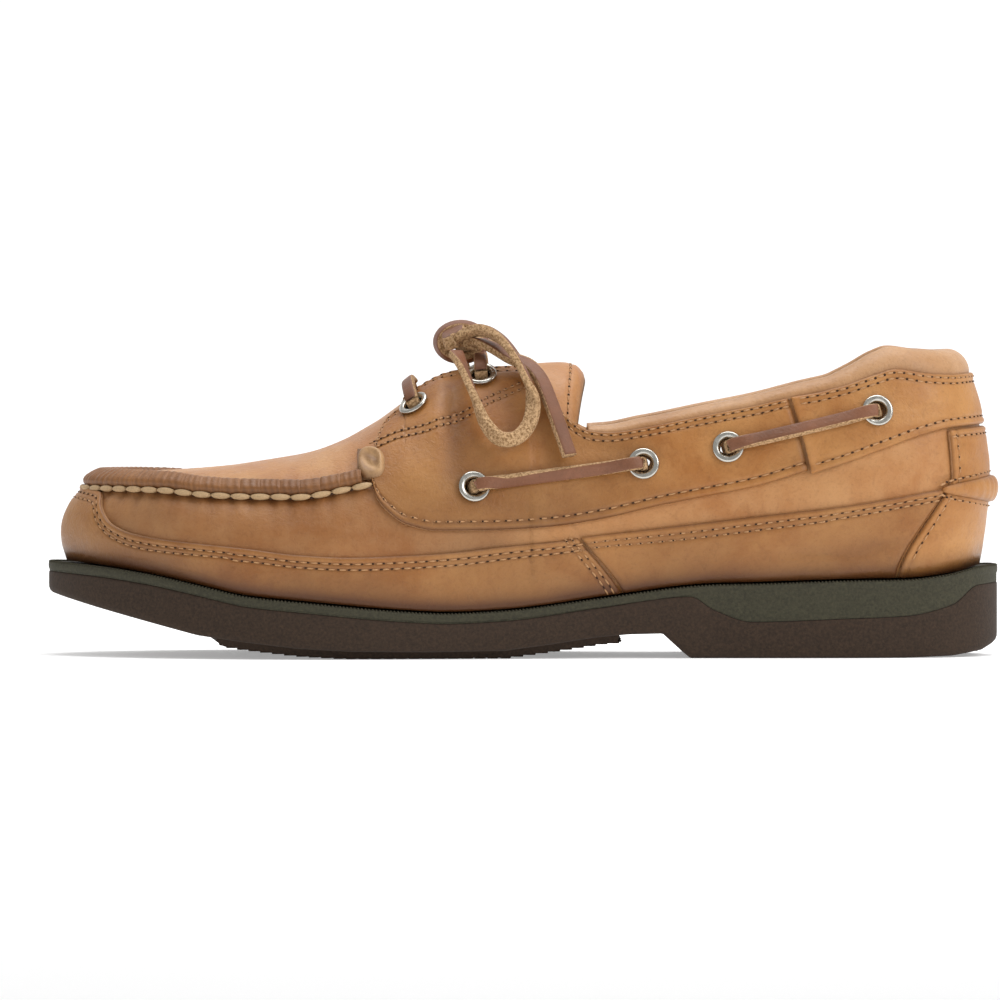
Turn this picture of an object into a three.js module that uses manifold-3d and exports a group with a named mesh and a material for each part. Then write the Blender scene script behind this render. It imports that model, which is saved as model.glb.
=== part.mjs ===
// A leather boat shoe for the left foot, as an assembly of separate pieces. Millimetres.
// +X points to the toe, +Y to the wearer's left (the outer side of this shoe), +Z up.
// The origin is on the floor, in the middle of the sole's length and width.
import * as THREE from "three";
import { mergeVertices } from "three/addons/utils/BufferGeometryUtils.js";
import Module from "manifold-3d";

const wasm = await Module();
wasm.setup();

// Driving sizes of the sole
const LENGTH = 302; // outsole, heel to toe
const BALL_WIDTH = 108; // outsole at the ball
const HEEL_WIDTH = 73; // outsole at the heel
const SIDE_HEIGHT = 25; // sole's side at the heel
const TOE_LIFT = 20; // toe spring, under the sole's edge
const TREAD_DEPTH = 2.6; // forefoot tread pad, below the sole's edge
const TREAD_INSET = 6; // pad and heel, in from the edge
const SOLE_BEVEL = 1.2; // lower corner of the side
const WELT_STEP = 0.7; // ribbed lip, out from the side below it
const WELT_HEIGHT = 2.6;

// Driving sizes of the upper
const INSTEP_HEIGHT = 93; // outer skin over the instep, from the floor
const COLLAR_HEIGHT = 91; // edge of the leather behind the heel
const WALL = 2; // leather and lining
const OVERLAY = 1.1; // a panel sewn on the upper
const GAP = 0.35; // between touching pieces
const FOOT_GAP = 0.55; // upper above the midsole
const SKIN_GAP = 0.5; // between curved layers
const SEAM_GAP = 0.5; // between panels that lie side by side
const EDGE_SIDE = 4.2; // upper's foot, in from the sole's edge
const EDGE_END = 7.4; // the same, at toe and heel
const BULGE_HEEL = 3.4; // upper out past its foot
const BULGE_TOE = 2.2;
const THROAT_HALF = 16; // half the gap between the eyestays, at its rear
const INSOLE_THICK = 3.4;
const TONGUE_THICK = 2.2;
const TONGUE_GAP = 0.95; // under the lining and the eyelets' barrels
const TONGUE_HALF = 27; // half of the tongue's width, measured along Y
const PAD_THICK = 7; // collar's padded roll
const PAD_HEIGHT = 7.4;
const PAD_GAP = 0.8; // roll above the leather's edge
const PAD_INSIDE = 3; // middle of the roll, in from the leather's face
const PAD_LEAN = 2.5; // and further in at its top
const PAD_RIM = 0.35; // half thickness that is left at its top
const RIDGE_HEIGHT = 3.7; // moccasin seam, out from the skin
const RIDGE_WIDTH = 3.6;
const KICKER_BULGE = 2.2;
const KICKER_HEIGHT = 8.5;
const LINE_OVER_COLLAR = 2; // the line that heights are shares of, over the collar at the heel
const TREAD_CORNER = 0.4; // slant of the tread pad's edge
const WELT_CORNER = 0.4; // soft corner of the ribbed lip
const INSOLE_CORNER = 1;
const RIDGE_RIM = 0.6; // moccasin seam's thickness at its edges

// Driving sizes of the eyelets and the lace
const ROUND_SIDES = 10; // of an eyelet
const LACE_CORNERS = 8;
const EYELET_RADIUS = 5;
const EYELET_HOLE = 2.7;
const EYELET_SKIN = 0.5;
const EYELET_DOME = 0.9;
const EYELET_FOOT = 0.3; // barrel past the lining
const EYELET_SEAT = 0.65; // flat flange over the curved leather
const LACE_WIDTH = 4.1;
const LACE_THICK = 2.8;
const EYELET_LIP = 0.6; // slant of the ring's outer edge
const EYELET_ROLL = 0.4; // rounding at its hole
const LACE_LIFT = 0.6; // lace over the eyelet's dome
const LACE_SAG = 0.8; // side runs, nearer the leather between their eyelets
const BAR_CROWN = { front: 3, rear: 0.8 }; // throat bars over the skin, on the middle line

// A short table: the first line names its columns.
function table(columns, ...rows) {
  const names = columns.split(" ");
  return rows.map((row) => Object.fromEntries(names.map((name, i) => [name, row[i]])));
}

// The sole's outline from the heel's middle round the outer side and back by the inner side.
// along is a share of the length, across a share of the heel's or the ball's half width.
const OUTLINE = table(
  "along across of",
  [0, 0, "heel"],
  [0.02, 0.52, "heel"],
  [0.06, 0.81, "heel"],
  [0.126, 0.96, "heel"],
  [0.205, 1, "heel"],
  [0.315, 1, "heel"],
  [0.414, 0.72, "ball"],
  [0.513, 0.83, "ball"],
  [0.613, 0.94, "ball"],
  [0.695, 0.98, "ball"],
  [0.778, 0.93, "ball"],
  [0.861, 0.76, "ball"],
  [0.927, 0.51, "ball"],
  [0.974, 0.22, "ball"],
  [1, -0.11, "ball"],
  [0.987, -0.41, "ball"],
  [0.947, -0.67, "ball"],
  [0.881, -0.87, "ball"],
  [0.795, -0.99, "ball"],
  [0.712, -1.02, "ball"],
  [0.613, -0.93, "ball"],
  [0.513, -0.76, "ball"],
  [0.414, -0.64, "ball"],
  [0.315, -0.9, "heel"],
  [0.205, -0.96, "heel"],
  [0.126, -0.96, "heel"],
  [0.06, -0.81, "heel"],
  [0.02, -0.52, "heel"],
);

// Heights along the sole, as shares of its side's height at the heel.
// top is the ribbed edge, border the line between midsole and outsole.
const SOLE_SIDE = table(
  "along top border",
  [0, 1.16, 0.95],
  [0.007, 1.16, 0.94],
  [0.023, 1.14, 0.92],
  [0.05, 1.06, 0.68],
  [0.1, 0.99, 0.54],
  [0.16, 0.98, 0.51],
  [0.26, 0.94, 0.47],
  [0.3, 0.93, 0.62],
  [0.325, 0.91, 0.79],
  [0.42, 0.76, 0.65],
  [0.52, 0.61, 0.49],
  [0.58, 0.58, 0.46],
  [0.63, 0.61, 0.49],
  [0.73, 0.72, 0.6],
  [0.787, 0.79, 0.67],
  [0.84, 0.93, 0.81],
  [0.892, 1.06, 0.94],
  [0.946, 1.15, 1.03],
  [1, 1.2, 1.08],
);

// The lower edge of the sole's side: heel as a share of its side height, toe of the toe spring.
const SOLE_BOTTOM = table(
  "along low of",
  [0, 0.19, "side"],
  [0.018, 0.08, "side"],
  [0.05, 0.02, "side"],
  [0.1, 0, "side"],
  [0.325, 0, "side"],
  [0.334, 0.09, "side"],
  [0.344, 0.2, "side"],
  [0.354, 0.31, "side"],
  [0.39, 0.3, "side"],
  [0.42, 0.27, "side"],
  [0.47, 0.18, "side"],
  [0.52, 0.1, "side"],
  [0.6, 0.09, "side"],
  [0.68, 0.1, "side"],
  [0.735, 0.17, "toe"],
  [0.787, 0.26, "toe"],
  [0.84, 0.37, "toe"],
  [0.892, 0.57, "toe"],
  [0.946, 0.78, "toe"],
  [1, 1, "toe"],
);

// The last: crest is the height of the middle line as a share of the instep height, boxy the
// squareness of the cross-section, lean how far the middle line lies to the inner side as a
// share of the ball width, and plump the share of the heel's or toe's bulge.
const LAST = table(
  "along crest boxy lean plump",
  [0, 1.36, 3.2, 0, 1],
  [0.1, 1.36, 3.2, 0, 1],
  [0.2, 1.3, 3, 0, 0.9],
  [0.3, 1.2, 2.8, 0.005, 0.7],
  [0.4, 1.1, 2.5, 0.012, 0.5],
  [0.46, 1.045, 2.3, 0.02, 0.4],
  [0.52, 1.015, 2.2, 0.03, 0.4],
  [0.57, 0.985, 2.2, 0.035, 0.4],
  [0.6, 0.935, 2.2, 0.035, 0.45],
  [0.63, 0.855, 2.3, 0.035, 0.5],
  [0.66, 0.787, 2.45, 0.035, 0.6],
  [0.69, 0.734, 2.6, 0.035, 0.7],
  [0.735, 0.685, 2.8, 0.035, 0.8],
  [0.79, 0.655, 2.9, 0.04, 0.9],
  [0.85, 0.632, 3.1, 0.045, 1],
  [0.9, 0.612, 3.4, 0.05, 1],
  [1, 0.6, 3.6, 0.05, 1],
);

// Edges and seams on the upper, by height at a place along the shoe. Unless a line says
// otherwise, a height is a share of the upper's line, which is at the instep's height in front
// and follows the collar's height behind.
// edge of the leather at the collar, as a share of the collar height
const COLLAR_LINE = table(
  "along height",
  [0, 0.985],
  [0.03, 0.98],
  [0.06, 0.985],
  [0.1, 1],
  [0.125, 0.98],
  [0.155, 0.945],
  [0.21, 0.91],
  [0.26, 0.87],
  [0.315, 0.835],
  [0.375, 0.795],
  [0.41, 0.78],
  [0.43, 0.785],
  [0.45, 0.82],
  [0.465, 0.88],
  [0.48, 0.955],
  [0.495, 1.03],
  [0.52, 1.2],
);
// height of the collar's roll, as a share of its greatest
const PAD_RISE = table(
  "along height",
  [0, 1.06],
  [0.044, 1.1],
  [0.078, 1.05],
  [0.123, 1],
  [0.139, 0.96],
  [0.155, 0.88],
  [0.171, 0.74],
  [0.187, 0.62],
  [0.218, 0.58],
  [0.313, 0.55],
  [0.376, 0.56],
  [0.418, 0.42],
  [0.434, 0.3],
);
// half of the throat's gap, as a share of its rear half width
const THROAT_LINE = table(
  "along half",
  [0.47, 1.2],
  [0.5, 1],
  [0.55, 0.88],
  [0.6, 0.72],
  [0.618, 0.6],
  [0.627, 0.4],
  [0.632, 0],
);
// lower edge of the side bands that hold the eyelets
const BAND_LOW = table(
  "along height",
  [0.203, 0.635],
  [0.26, 0.58],
  [0.315, 0.545],
  [0.355, 0.52],
  [0.42, 0.472],
  [0.475, 0.446],
  [0.53, 0.436],
  [0.59, 0.434],
  [0.622, 0.455],
  [0.642, 0.5],
  [0.652, 0.54],
  [0.658, 0.6],
);
// the band's front, which runs up beside the plug
const BAND_FRONT = table(
  "along height",
  [0.622, 0.845],
  [0.632, 0.822],
  [0.64, 0.8],
  [0.647, 0.765],
  [0.653, 0.715],
  [0.658, 0.65],
);
// lower edge of the strip behind the bands
const REAR_LOW = table(
  "along height",
  [0, 0.79],
  [0.04, 0.78],
  [0.07, 0.76],
  [0.123, 0.705],
  [0.155, 0.668],
  [0.198, 0.625],
);
// top of the front and rear foxing, the leather wall along the sole
const FOXING_TOP = table(
  "along height",
  [0.05, 0.575],
  [0.155, 0.52],
  [0.26, 0.48],
  [0.375, 0.435],
  [0.43, 0.415],
  [0.46, 0.4],
  [0.523, 0.38],
  [0.577, 0.36],
  [0.63, 0.35],
  [0.68, 0.345],
  [0.735, 0.353],
  [0.787, 0.373],
  [0.84, 0.39],
  [0.88, 0.403],
  [0.914, 0.42],
  [0.94, 0.45],
  [0.958, 0.5],
  [0.972, 0.55],
  [1, 0.565],
);
// foot of the moccasin seam's ridge, where the plug meets the toe wall
const RIDGE_LINE = table(
  "along height",
  [0.67, 0.6],
  [0.69, 0.585],
  [0.735, 0.562],
  [0.787, 0.562],
  [0.84, 0.568],
  [0.892, 0.582],
  [0.95, 0.585],
  [1, 0.585],
);

const TREAD_PAD = { from: 0.4, to: 0.82 }; // forefoot pad, along the shoe
// Leaning seams: place along the shoe at the top, slant at the foot, and how far up it reaches.
const SIDE_SEAM = { top: 0.448, slant: -0.0505, reach: 0.155 };
const COUNTER_SEAM = { top: 0.046, slant: 0.057, reach: 0.095 };
const SEAM_BEND = 1.35;
const KICKER_LOW = 0.525; // padded half roll round the heel, share of the upper's line
const REAR_FRONT = 0.2; // joint of the rear strip and the side bands
const REAR_LEAN = { slant: 0.022, reach: 0.06 }; // forward at its top, fading along the shoe
const BAND_TIP = 0.658;
const RIDGE_END = 0.668;
const TONGUE_FRONT = 0.66;
const TONGUE_REAR = 0.437;
const TONGUE_DROP = 0.69; // its sides inside the collar, share of the upper's line
const PAD_FRONT = 0.432;
const LINE_CHANGE = { from: 0.3, to: 0.5 }; // the upper's line goes over from collar to instep

// Eyelets on one side, front to rear.
const EYELETS = table(
  "along height",
  [0.611, 0.845],
  [0.543, 0.94],
  [0.552, 0.577],
  [0.374, 0.655],
  [0.285, 0.712],
  [0.126, 0.835],
);

const BULGE_REACH = { heel: 0.6, toe: 0.75 }; // the bulge ends at this share of the crest
const HEEL_PIVOT = 0.115; // the cross-sections fan out round these two places
const TOE_PIVOT = 0.865;
const FAN_TRAVEL = 0.06;
const FAN_SHARE = 0.2; // of all sections, at each end

// A smooth curve through one column of a table that never overshoots its rows.
function smooth(rows, column, along) {
  const last = rows.length - 1;
  if (along <= rows[0].along) return rows[0][column];
  if (along >= rows[last].along) return rows[last][column];
  let i = 0;
  while (along > rows[i + 1].along) i += 1;
  const rise = (k) => {
    const run = rows[k + 1].along - rows[k].along;
    return (rows[k + 1][column] - rows[k][column]) / run;
  };
  const slope = (k) => {
    if (k === 0) return rise(0);
    if (k === last) return rise(last - 1);
    const [before, after] = [rise(k - 1), rise(k)];
    return before * after <= 0 ? 0 : (2 * before * after) / (before + after);
  };
  const run = rows[i + 1].along - rows[i].along;
  const t = (along - rows[i].along) / run;
  const [a, b] = [rows[i][column], rows[i + 1][column]];
  const [u, v] = [slope(i) * run, slope(i + 1) * run];
  return a + t * u + t * t * (3 * (b - a) - 2 * u - v) + t * t * t * (2 * (a - b) + u + v);
}

// A straight-sided line through a column, for the sole's corners.
function straight(rows, value, along) {
  const at = Math.min(Math.max(along, 0), 1);
  let i = 0;
  while (i < rows.length - 2 && at > rows[i + 1].along) i += 1;
  const t = (at - rows[i].along) / (rows[i + 1].along - rows[i].along);
  return value(rows[i]) * (1 - t) + value(rows[i + 1]) * t;
}

const halfWidth = { heel: HEEL_WIDTH / 2, ball: BALL_WIDTH / 2 };
const outlineCurve = new THREE.CatmullRomCurve3(
  OUTLINE.map((p) => new THREE.Vector3(p.along * LENGTH, p.across * halfWidth[p.of], 0)),
  true,
  "centripetal",
);
const outline = outlineCurve.getPoints(OUTLINE.length * 14);

// Distance from a place inside the outline to it, in one direction.
function reachOf(x, y, dx, dy) {
  let best = 0;
  for (let i = 0; i < outline.length - 1; i += 1) {
    const [a, b] = [outline[i], outline[i + 1]];
    const [ex, ey] = [b.x - a.x, b.y - a.y];
    const cross = dx * ey - dy * ex;
    if (Math.abs(cross) < 1e-9) continue;
    const r = ((a.x - x) * ey - (a.y - y) * ex) / cross;
    const t = ((a.x - x) * dy - (a.y - y) * dx) / cross;
    if (r > best && t >= -1e-6 && t <= 1 + 1e-6) best = r;
  }
  return best;
}

const blend = (a, b, t) => a + (b - a) * t;
const clamp = THREE.MathUtils.clamp;

// One half of a cross-section: it starts on the middle line and ends at the sole's outline.
// s runs from the heel's middle (0) to the toe's middle (1); side is 1 outside, -1 inside.
const sections = new Map();
function section(side, s) {
  const key = side * (s + 2);
  if (sections.has(key)) return sections.get(key);
  let turn = Math.PI / 2;
  let middle;
  if (s < FAN_SHARE) {
    const t = s / FAN_SHARE;
    turn = blend(Math.PI, Math.PI / 2, t);
    middle = HEEL_PIVOT + FAN_TRAVEL * t * t;
  } else if (s > 1 - FAN_SHARE) {
    const t = (1 - s) / FAN_SHARE;
    turn = blend(0, Math.PI / 2, t);
    middle = TOE_PIVOT - FAN_TRAVEL * t * t;
  } else {
    const t = (s - FAN_SHARE) / (1 - 2 * FAN_SHARE);
    middle = blend(HEEL_PIVOT + FAN_TRAVEL, TOE_PIVOT - FAN_TRAVEL, t);
  }
  const y = -smooth(LAST, "lean", middle) * BALL_WIDTH;
  const [dx, dy] = [Math.cos(turn), Math.sin(turn) * side];
  const reach = reachOf(middle * LENGTH, y, dx, dy);
  const outer = reachOf(middle * LENGTH, y, dx, Math.abs(dy));
  const along = (middle * LENGTH + dx * outer) / LENGTH;
  const edge = blend(EDGE_SIDE, EDGE_END, Math.abs(dx));
  const footAlong = middle + (dx * (reach - edge)) / LENGTH;
  const made = { side, s, x: middle * LENGTH, y, dx, dy, reach, along, middle, edge, footAlong };
  sections.set(key, made);
  return made;
}

const soleTop = (along) => smooth(SOLE_SIDE, "top", along) * SIDE_HEIGHT;
const soleBorder = (along) => smooth(SOLE_SIDE, "border", along) * SIDE_HEIGHT;
const soleLow = (along) =>
  straight(SOLE_BOTTOM, (r) => r.low * (r.of === "toe" ? TOE_LIFT : SIDE_HEIGHT), along);

// A point of the upper's outer skin: w runs from its foot (0) to the middle line (1).
function skin(cut, w) {
  const boxy = smooth(LAST, "boxy", cut.along);
  const crest = smooth(LAST, "crest", cut.middle) * INSTEP_HEIGHT;
  const foot = soleTop(cut.footAlong) + FOOT_GAP;
  const turn = (clamp(w, 0, 1) * Math.PI) / 2;
  const across = Math.max(Math.cos(turn), 0) ** (2 / boxy);
  const up = Math.sin(turn) ** (2 / boxy);
  const atHeel = cut.s < 0.5;
  const most = smooth(LAST, "plump", cut.along) * (atHeel ? BULGE_HEEL : BULGE_TOE);
  const upTo = atHeel ? BULGE_REACH.heel : BULGE_REACH.toe;
  const bulge = most * Math.sin(Math.PI * Math.min(up / upTo, 1));
  const far = w >= 1 ? 0 : (cut.reach - cut.edge) * across + bulge;
  const z = foot + (crest - foot) * up;
  return new THREE.Vector3(cut.x + cut.dx * far, cut.y + cut.dy * far, z);
}

// The place on the skin at a height, and at a distance from the middle line.
function atHeight(cut, height) {
  const boxy = smooth(LAST, "boxy", cut.along);
  const crest = smooth(LAST, "crest", cut.middle) * INSTEP_HEIGHT;
  const foot = soleTop(cut.footAlong) + FOOT_GAP;
  const up = clamp((height - foot) / (crest - foot), 0, 1);
  return (Math.asin(up ** (boxy / 2)) * 2) / Math.PI;
}

function atHalf(cut, half) {
  const boxy = smooth(LAST, "boxy", cut.along);
  const across = clamp(half / (cut.reach - cut.edge), 0, 1);
  return (Math.acos(across ** (boxy / 2)) * 2) / Math.PI;
}

// The skin moved out by a distance, along its own normal.
const STEP_S = 0.002;
const STEP_W = 0.01;
function lifted(side, s, w, out) {
  const cut = section(side, s);
  const at = skin(cut, w);
  const before = skin(section(side, Math.max(s - STEP_S, 0)), w);
  const after = skin(section(side, Math.min(s + STEP_S, 1)), w);
  const along = after.sub(before);
  const upward = skin(cut, Math.min(w + STEP_W, 1)).sub(skin(cut, Math.max(w - STEP_W, 0)));
  let normal = along.clone().cross(upward).multiplyScalar(side);
  if (w > 0.999) {
    along.y = 0;
    normal = new THREE.Vector3(0, 0, 1);
    if (along.length() > 1e-6) {
      along.normalize();
      normal.addScaledVector(along, -along.z);
    }
  }
  if (s <= 0 || s >= 1) normal.y = 0;
  if (w < 0.02) normal.z = 0;
  if (normal.dot(new THREE.Vector3(cut.dx, cut.dy, 0.5)) < 0) normal.negate();
  return at.addScaledVector(normal.normalize(), out);
}

// The section whose foot lies at a place along the shoe.
function sectionFor(along) {
  let [low, high] = [0, 1];
  for (let i = 0; i < 40; i += 1) {
    const s = (low + high) / 2;
    if (section(1, s).along < along) low = s;
    else high = s;
  }
  return (low + high) / 2;
}

// Where the leather ends above: at the collar, beside the throat, or nowhere on the vamp.
function topEdge(side, s) {
  const cut = section(side, s);
  const { along } = cut;
  const throat = THROAT_LINE[THROAT_LINE.length - 1].along;
  if (along >= throat || s > 0.9) return 1;
  const collar = atHeight(cut, smooth(COLLAR_LINE, "height", along) * COLLAR_HEIGHT);
  if (along < THROAT_LINE[0].along) return collar;
  return Math.min(collar, atHalf(cut, smooth(THROAT_LINE, "half", along) * THROAT_HALF));
}

// The upper's line: the instep's height in front, and the collar's behind.
function upperLine(along) {
  const share = THREE.MathUtils.smoothstep(along, LINE_CHANGE.from, LINE_CHANGE.to);
  return blend(COLLAR_HEIGHT + LINE_OVER_COLLAR, INSTEP_HEIGHT, share);
}

const onUpper = (rows) => (side, s) => {
  const cut = section(side, s);
  return atHeight(cut, smooth(rows, "height", cut.along) * upperLine(cut.along));
};

// Triangles from a grid of points, where points that fall together are merged.
class Shell {
  constructor() {
    this.positions = [];
  }
  // A four-sided face is split along its shorter diagonal, so facing layers split alike.
  quad(a, b, c, d) {
    const shorter = a.distanceTo(c) <= b.distanceTo(d) + 1e-4;
    const [p, q, r, s] = shorter ? [a, b, c, d] : [b, c, d, a];
    this.triangle(p, q, r);
    this.triangle(p, r, s);
  }
  triangle(a, b, c) {
    const same = (p, q) => p.distanceToSquared(q) < 1e-6;
    if (same(a, b) || same(b, c) || same(c, a)) return;
    for (const p of [a, b, c]) this.positions.push(p.x, p.y, p.z);
  }
  geometry() {
    const loose = new THREE.BufferGeometry();
    loose.setAttribute("position", new THREE.Float32BufferAttribute(this.positions, 3));
    return mergeVertices(loose, 1e-3);
  }
}

// A ring of profiles round the shoe: each is a list of points, and the ends meet on the middle.
function ringGeometry(profiles) {
  const shell = new Shell();
  profiles.forEach((here, i) => {
    const next = profiles[(i + 1) % profiles.length];
    for (let k = 0; k < here.length - 1; k += 1) shell.quad(here[k], next[k], next[k + 1], here[k + 1]);
  });
  return shell.geometry();
}

// All sections round the shoe: from the heel by the outer side to the toe, and back.
function roundTheShoe(steps) {
  const there = steps.map((s) => ({ side: 1, s }));
  const back = steps.slice(1, -1).reverse().map((s) => ({ side: -1, s }));
  return [...there, ...back];
}

const evenly = (count, from = 0, to = 1) =>
  Array.from({ length: count + 1 }, (_, i) => blend(from, to, i / count));

const upright = (side, s) => s;

// A panel that follows the skin: stops along it, edges low and high, and two distances from it.
// Its rows are shares of its own width, or, with onGrid, the upper's own rows cut off at its edges.
function panelGeometry({ stops, rows, low, high, outer, inner, onGrid = false, lean = upright }) {
  const shell = new Shell();
  const place = ({ side, s, part = 0 }, t, distance) => {
    const [from, to] = [low(side, s, part), high(side, s, part)];
    const w = onGrid ? clamp(t, from, to) : blend(from, to, t);
    return lifted(side, lean(side, s, w), w, distance(t, part));
  };
  const face = (distance) =>
    stops.map((stop) => evenly(rows).map((t) => place(stop, t, distance)));
  const [front, back] = [face(outer), face(inner)];
  const end = stops.length - 1;
  for (let i = 0; i < end; i += 1) {
    const j = i + 1;
    for (let k = 0; k < rows; k += 1) {
      shell.quad(front[i][k], front[j][k], front[j][k + 1], front[i][k + 1]);
      shell.quad(back[i][k], back[i][k + 1], back[j][k + 1], back[j][k]);
    }
    shell.quad(front[i][0], back[i][0], back[j][0], front[j][0]);
    shell.quad(front[i][rows], front[j][rows], back[j][rows], back[i][rows]);
  }
  for (let k = 0; k < rows; k += 1) {
    shell.quad(front[0][k], front[0][k + 1], back[0][k + 1], back[0][k]);
    shell.quad(front[end][k], back[end][k], back[end][k + 1], front[end][k + 1]);
  }
  return shell.geometry();
}

// Stops from the outer side round the toe (1) or the heel (0) to the inner side.
function stopsRound(end, from, count) {
  const a = sectionFor(from);
  return evenly(2 * count).map((t) => {
    const near = Math.abs(2 * t - 1);
    return { side: t <= 0.5 ? 1 : -1, s: blend(end, a, near), part: t };
  });
}

const solidOf = (geometry) => {
  const bare = geometry.clone();
  bare.deleteAttribute("normal");
  bare.deleteAttribute("uv");
  const merged = mergeVertices(bare, 1e-3);
  const mesh = new wasm.Mesh({
    numProp: 3,
    vertProperties: merged.attributes.position.array,
    triVerts: new Uint32Array(merged.index.array),
  });
  return new wasm.Manifold(mesh);
};

function geometryOf(solid) {
  const mesh = solid.getMesh();
  const geometry = new THREE.BufferGeometry();
  geometry.setAttribute("position", new THREE.Float32BufferAttribute(mesh.vertProperties, 3));
  geometry.setIndex(new THREE.Uint32BufferAttribute(mesh.triVerts, 1));
  return geometry;
}

// Faces that a mirrored or reversed grid left inside out are turned.
function facingOut(geometry) {
  if (solidOf(geometry).volume() > 0) return geometry;
  const turned = geometry.index.array;
  for (let i = 0; i < turned.length; i += 3) [turned[i], turned[i + 1]] = [turned[i + 1], turned[i]];
  return geometry;
}

const leather = new THREE.MeshStandardMaterial({ color: "#b9835a", roughness: 0.6 });
const plugLeather = new THREE.MeshStandardMaterial({ color: "#c99873", roughness: 0.6 });
const ridgeLeather = new THREE.MeshStandardMaterial({ color: "#9b6a4e", roughness: 0.7 });
const liningLeather = new THREE.MeshStandardMaterial({ color: "#c9a27c", roughness: 0.8 });
const midsoleRubber = new THREE.MeshStandardMaterial({ color: "#474738", roughness: 0.85 });
const outsoleRubber = new THREE.MeshStandardMaterial({ color: "#3b2e26", roughness: 0.85 });
const nickel = new THREE.MeshStandardMaterial({ color: "#c8c8c4", roughness: 0.25, metalness: 1 });
const laceLeather = new THREE.MeshStandardMaterial({ color: "#80564a", roughness: 0.7 });

const shoe = new THREE.Group();
const xs = outline.map((p) => p.x);
const ys = outline.map((p) => p.y);
shoe.position.set(
  -(Math.min(...xs) + Math.max(...xs)) / 2,
  -(Math.min(...ys) + Math.max(...ys)) / 2,
  0,
);

function add(name, geometry, material) {
  const mesh = new THREE.Mesh(facingOut(geometry), material);
  mesh.name = name;
  shoe.add(mesh);
  return mesh;
}

// A point at a distance from the middle line, with its height given along the shoe.
function level(cut, far, height, above = 0) {
  const x = cut.x + cut.dx * far;
  return new THREE.Vector3(x, cut.y + cut.dy * far, height(x / LENGTH) + above);
}

// The sole's sections also fall on both edges of the heel's front face.
const HEEL_FACE = [0.325, 0.334, 0.344, 0.354];
const soleSteps = [...evenly(28), ...HEEL_FACE.map(sectionFor)].sort((a, b) => a - b);

// The forefoot's tread pad and the heel stand on the floor, in from the sole's edge.
const treadLow = (along) => {
  const onPad = along > TREAD_PAD.from && along < TREAD_PAD.to;
  return onPad ? Math.max(soleLow(along) - TREAD_DEPTH, 0) : soleLow(along);
};

function makeOutsole() {
  const profiles = roundTheShoe(soleSteps).map(({ side, s }) => {
    const cut = section(side, s);
    const { reach } = cut;
    return [
      level(cut, 0, treadLow),
      level(cut, reach * 0.5, treadLow),
      level(cut, reach - TREAD_INSET, treadLow),
      level(cut, reach - TREAD_INSET + TREAD_CORNER, soleLow),
      level(cut, reach - SOLE_BEVEL, soleLow),
      level(cut, reach, soleLow, SOLE_BEVEL),
      level(cut, reach, soleBorder, -GAP),
      level(cut, reach * 0.5, soleBorder, -GAP),
      level(cut, 0, soleBorder, -GAP),
    ];
  });
  add("outsole", ringGeometry(profiles), outsoleRubber);
}

function makeMidsole() {
  const profiles = roundTheShoe(soleSteps).map(({ side, s }) => {
    const cut = section(side, s);
    const { reach } = cut;
    const wall = reach - WELT_STEP;
    return [
      level(cut, 0, soleBorder),
      level(cut, reach * 0.5, soleBorder),
      level(cut, wall, soleBorder),
      level(cut, wall, soleTop, -WELT_HEIGHT),
      level(cut, reach, soleTop, -WELT_HEIGHT + WELT_CORNER / 2),
      level(cut, reach, soleTop, -WELT_CORNER),
      level(cut, reach - 2 * WELT_CORNER, soleTop),
      level(cut, reach * 0.5, soleTop),
      level(cut, 0, soleTop),
    ];
  });
  add("midsole", ringGeometry(profiles), midsoleRubber);
}

function makeInsole() {
  const profiles = roundTheShoe(evenly(24)).map(({ side, s }) => {
    const cut = section(side, s);
    const far = cut.reach - cut.edge - WALL - SKIN_GAP - GAP;
    return [
      level(cut, 0, soleTop, SKIN_GAP),
      level(cut, far * 0.5, soleTop, SKIN_GAP),
      level(cut, far - INSOLE_CORNER, soleTop, SKIN_GAP),
      level(cut, far, soleTop, SKIN_GAP + INSOLE_CORNER),
      level(cut, far, soleTop, SKIN_GAP + INSOLE_THICK),
      level(cut, far * 0.5, soleTop, SKIN_GAP + INSOLE_THICK * 0.9),
      level(cut, 0, soleTop, SKIN_GAP + INSOLE_THICK * 0.8),
    ];
  });
  add("insole", ringGeometry(profiles), liningLeather);
}

const UPPER_ROWS = 12;
const throatPlaces = [0.435, 0.452, 0.465, 0.48, 0.618, 0.627, 0.632, 0.64, 0.647, 0.653, BAND_TIP];
const throatSteps = throatPlaces.map(sectionFor);
const upperSteps = [...evenly(26), ...throatSteps].sort((a, b) => a - b);

// Stops on one side between two places along the shoe, at the upper's own sections.
function stopsOnSide(side, from, to) {
  const [a, b] = [sectionFor(from), sectionFor(to)];
  const inside = upperSteps.filter((s) => s > a + 0.003 && s < b - 0.003);
  return [a, ...inside, b].map((s) => ({ side, s }));
}

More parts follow.
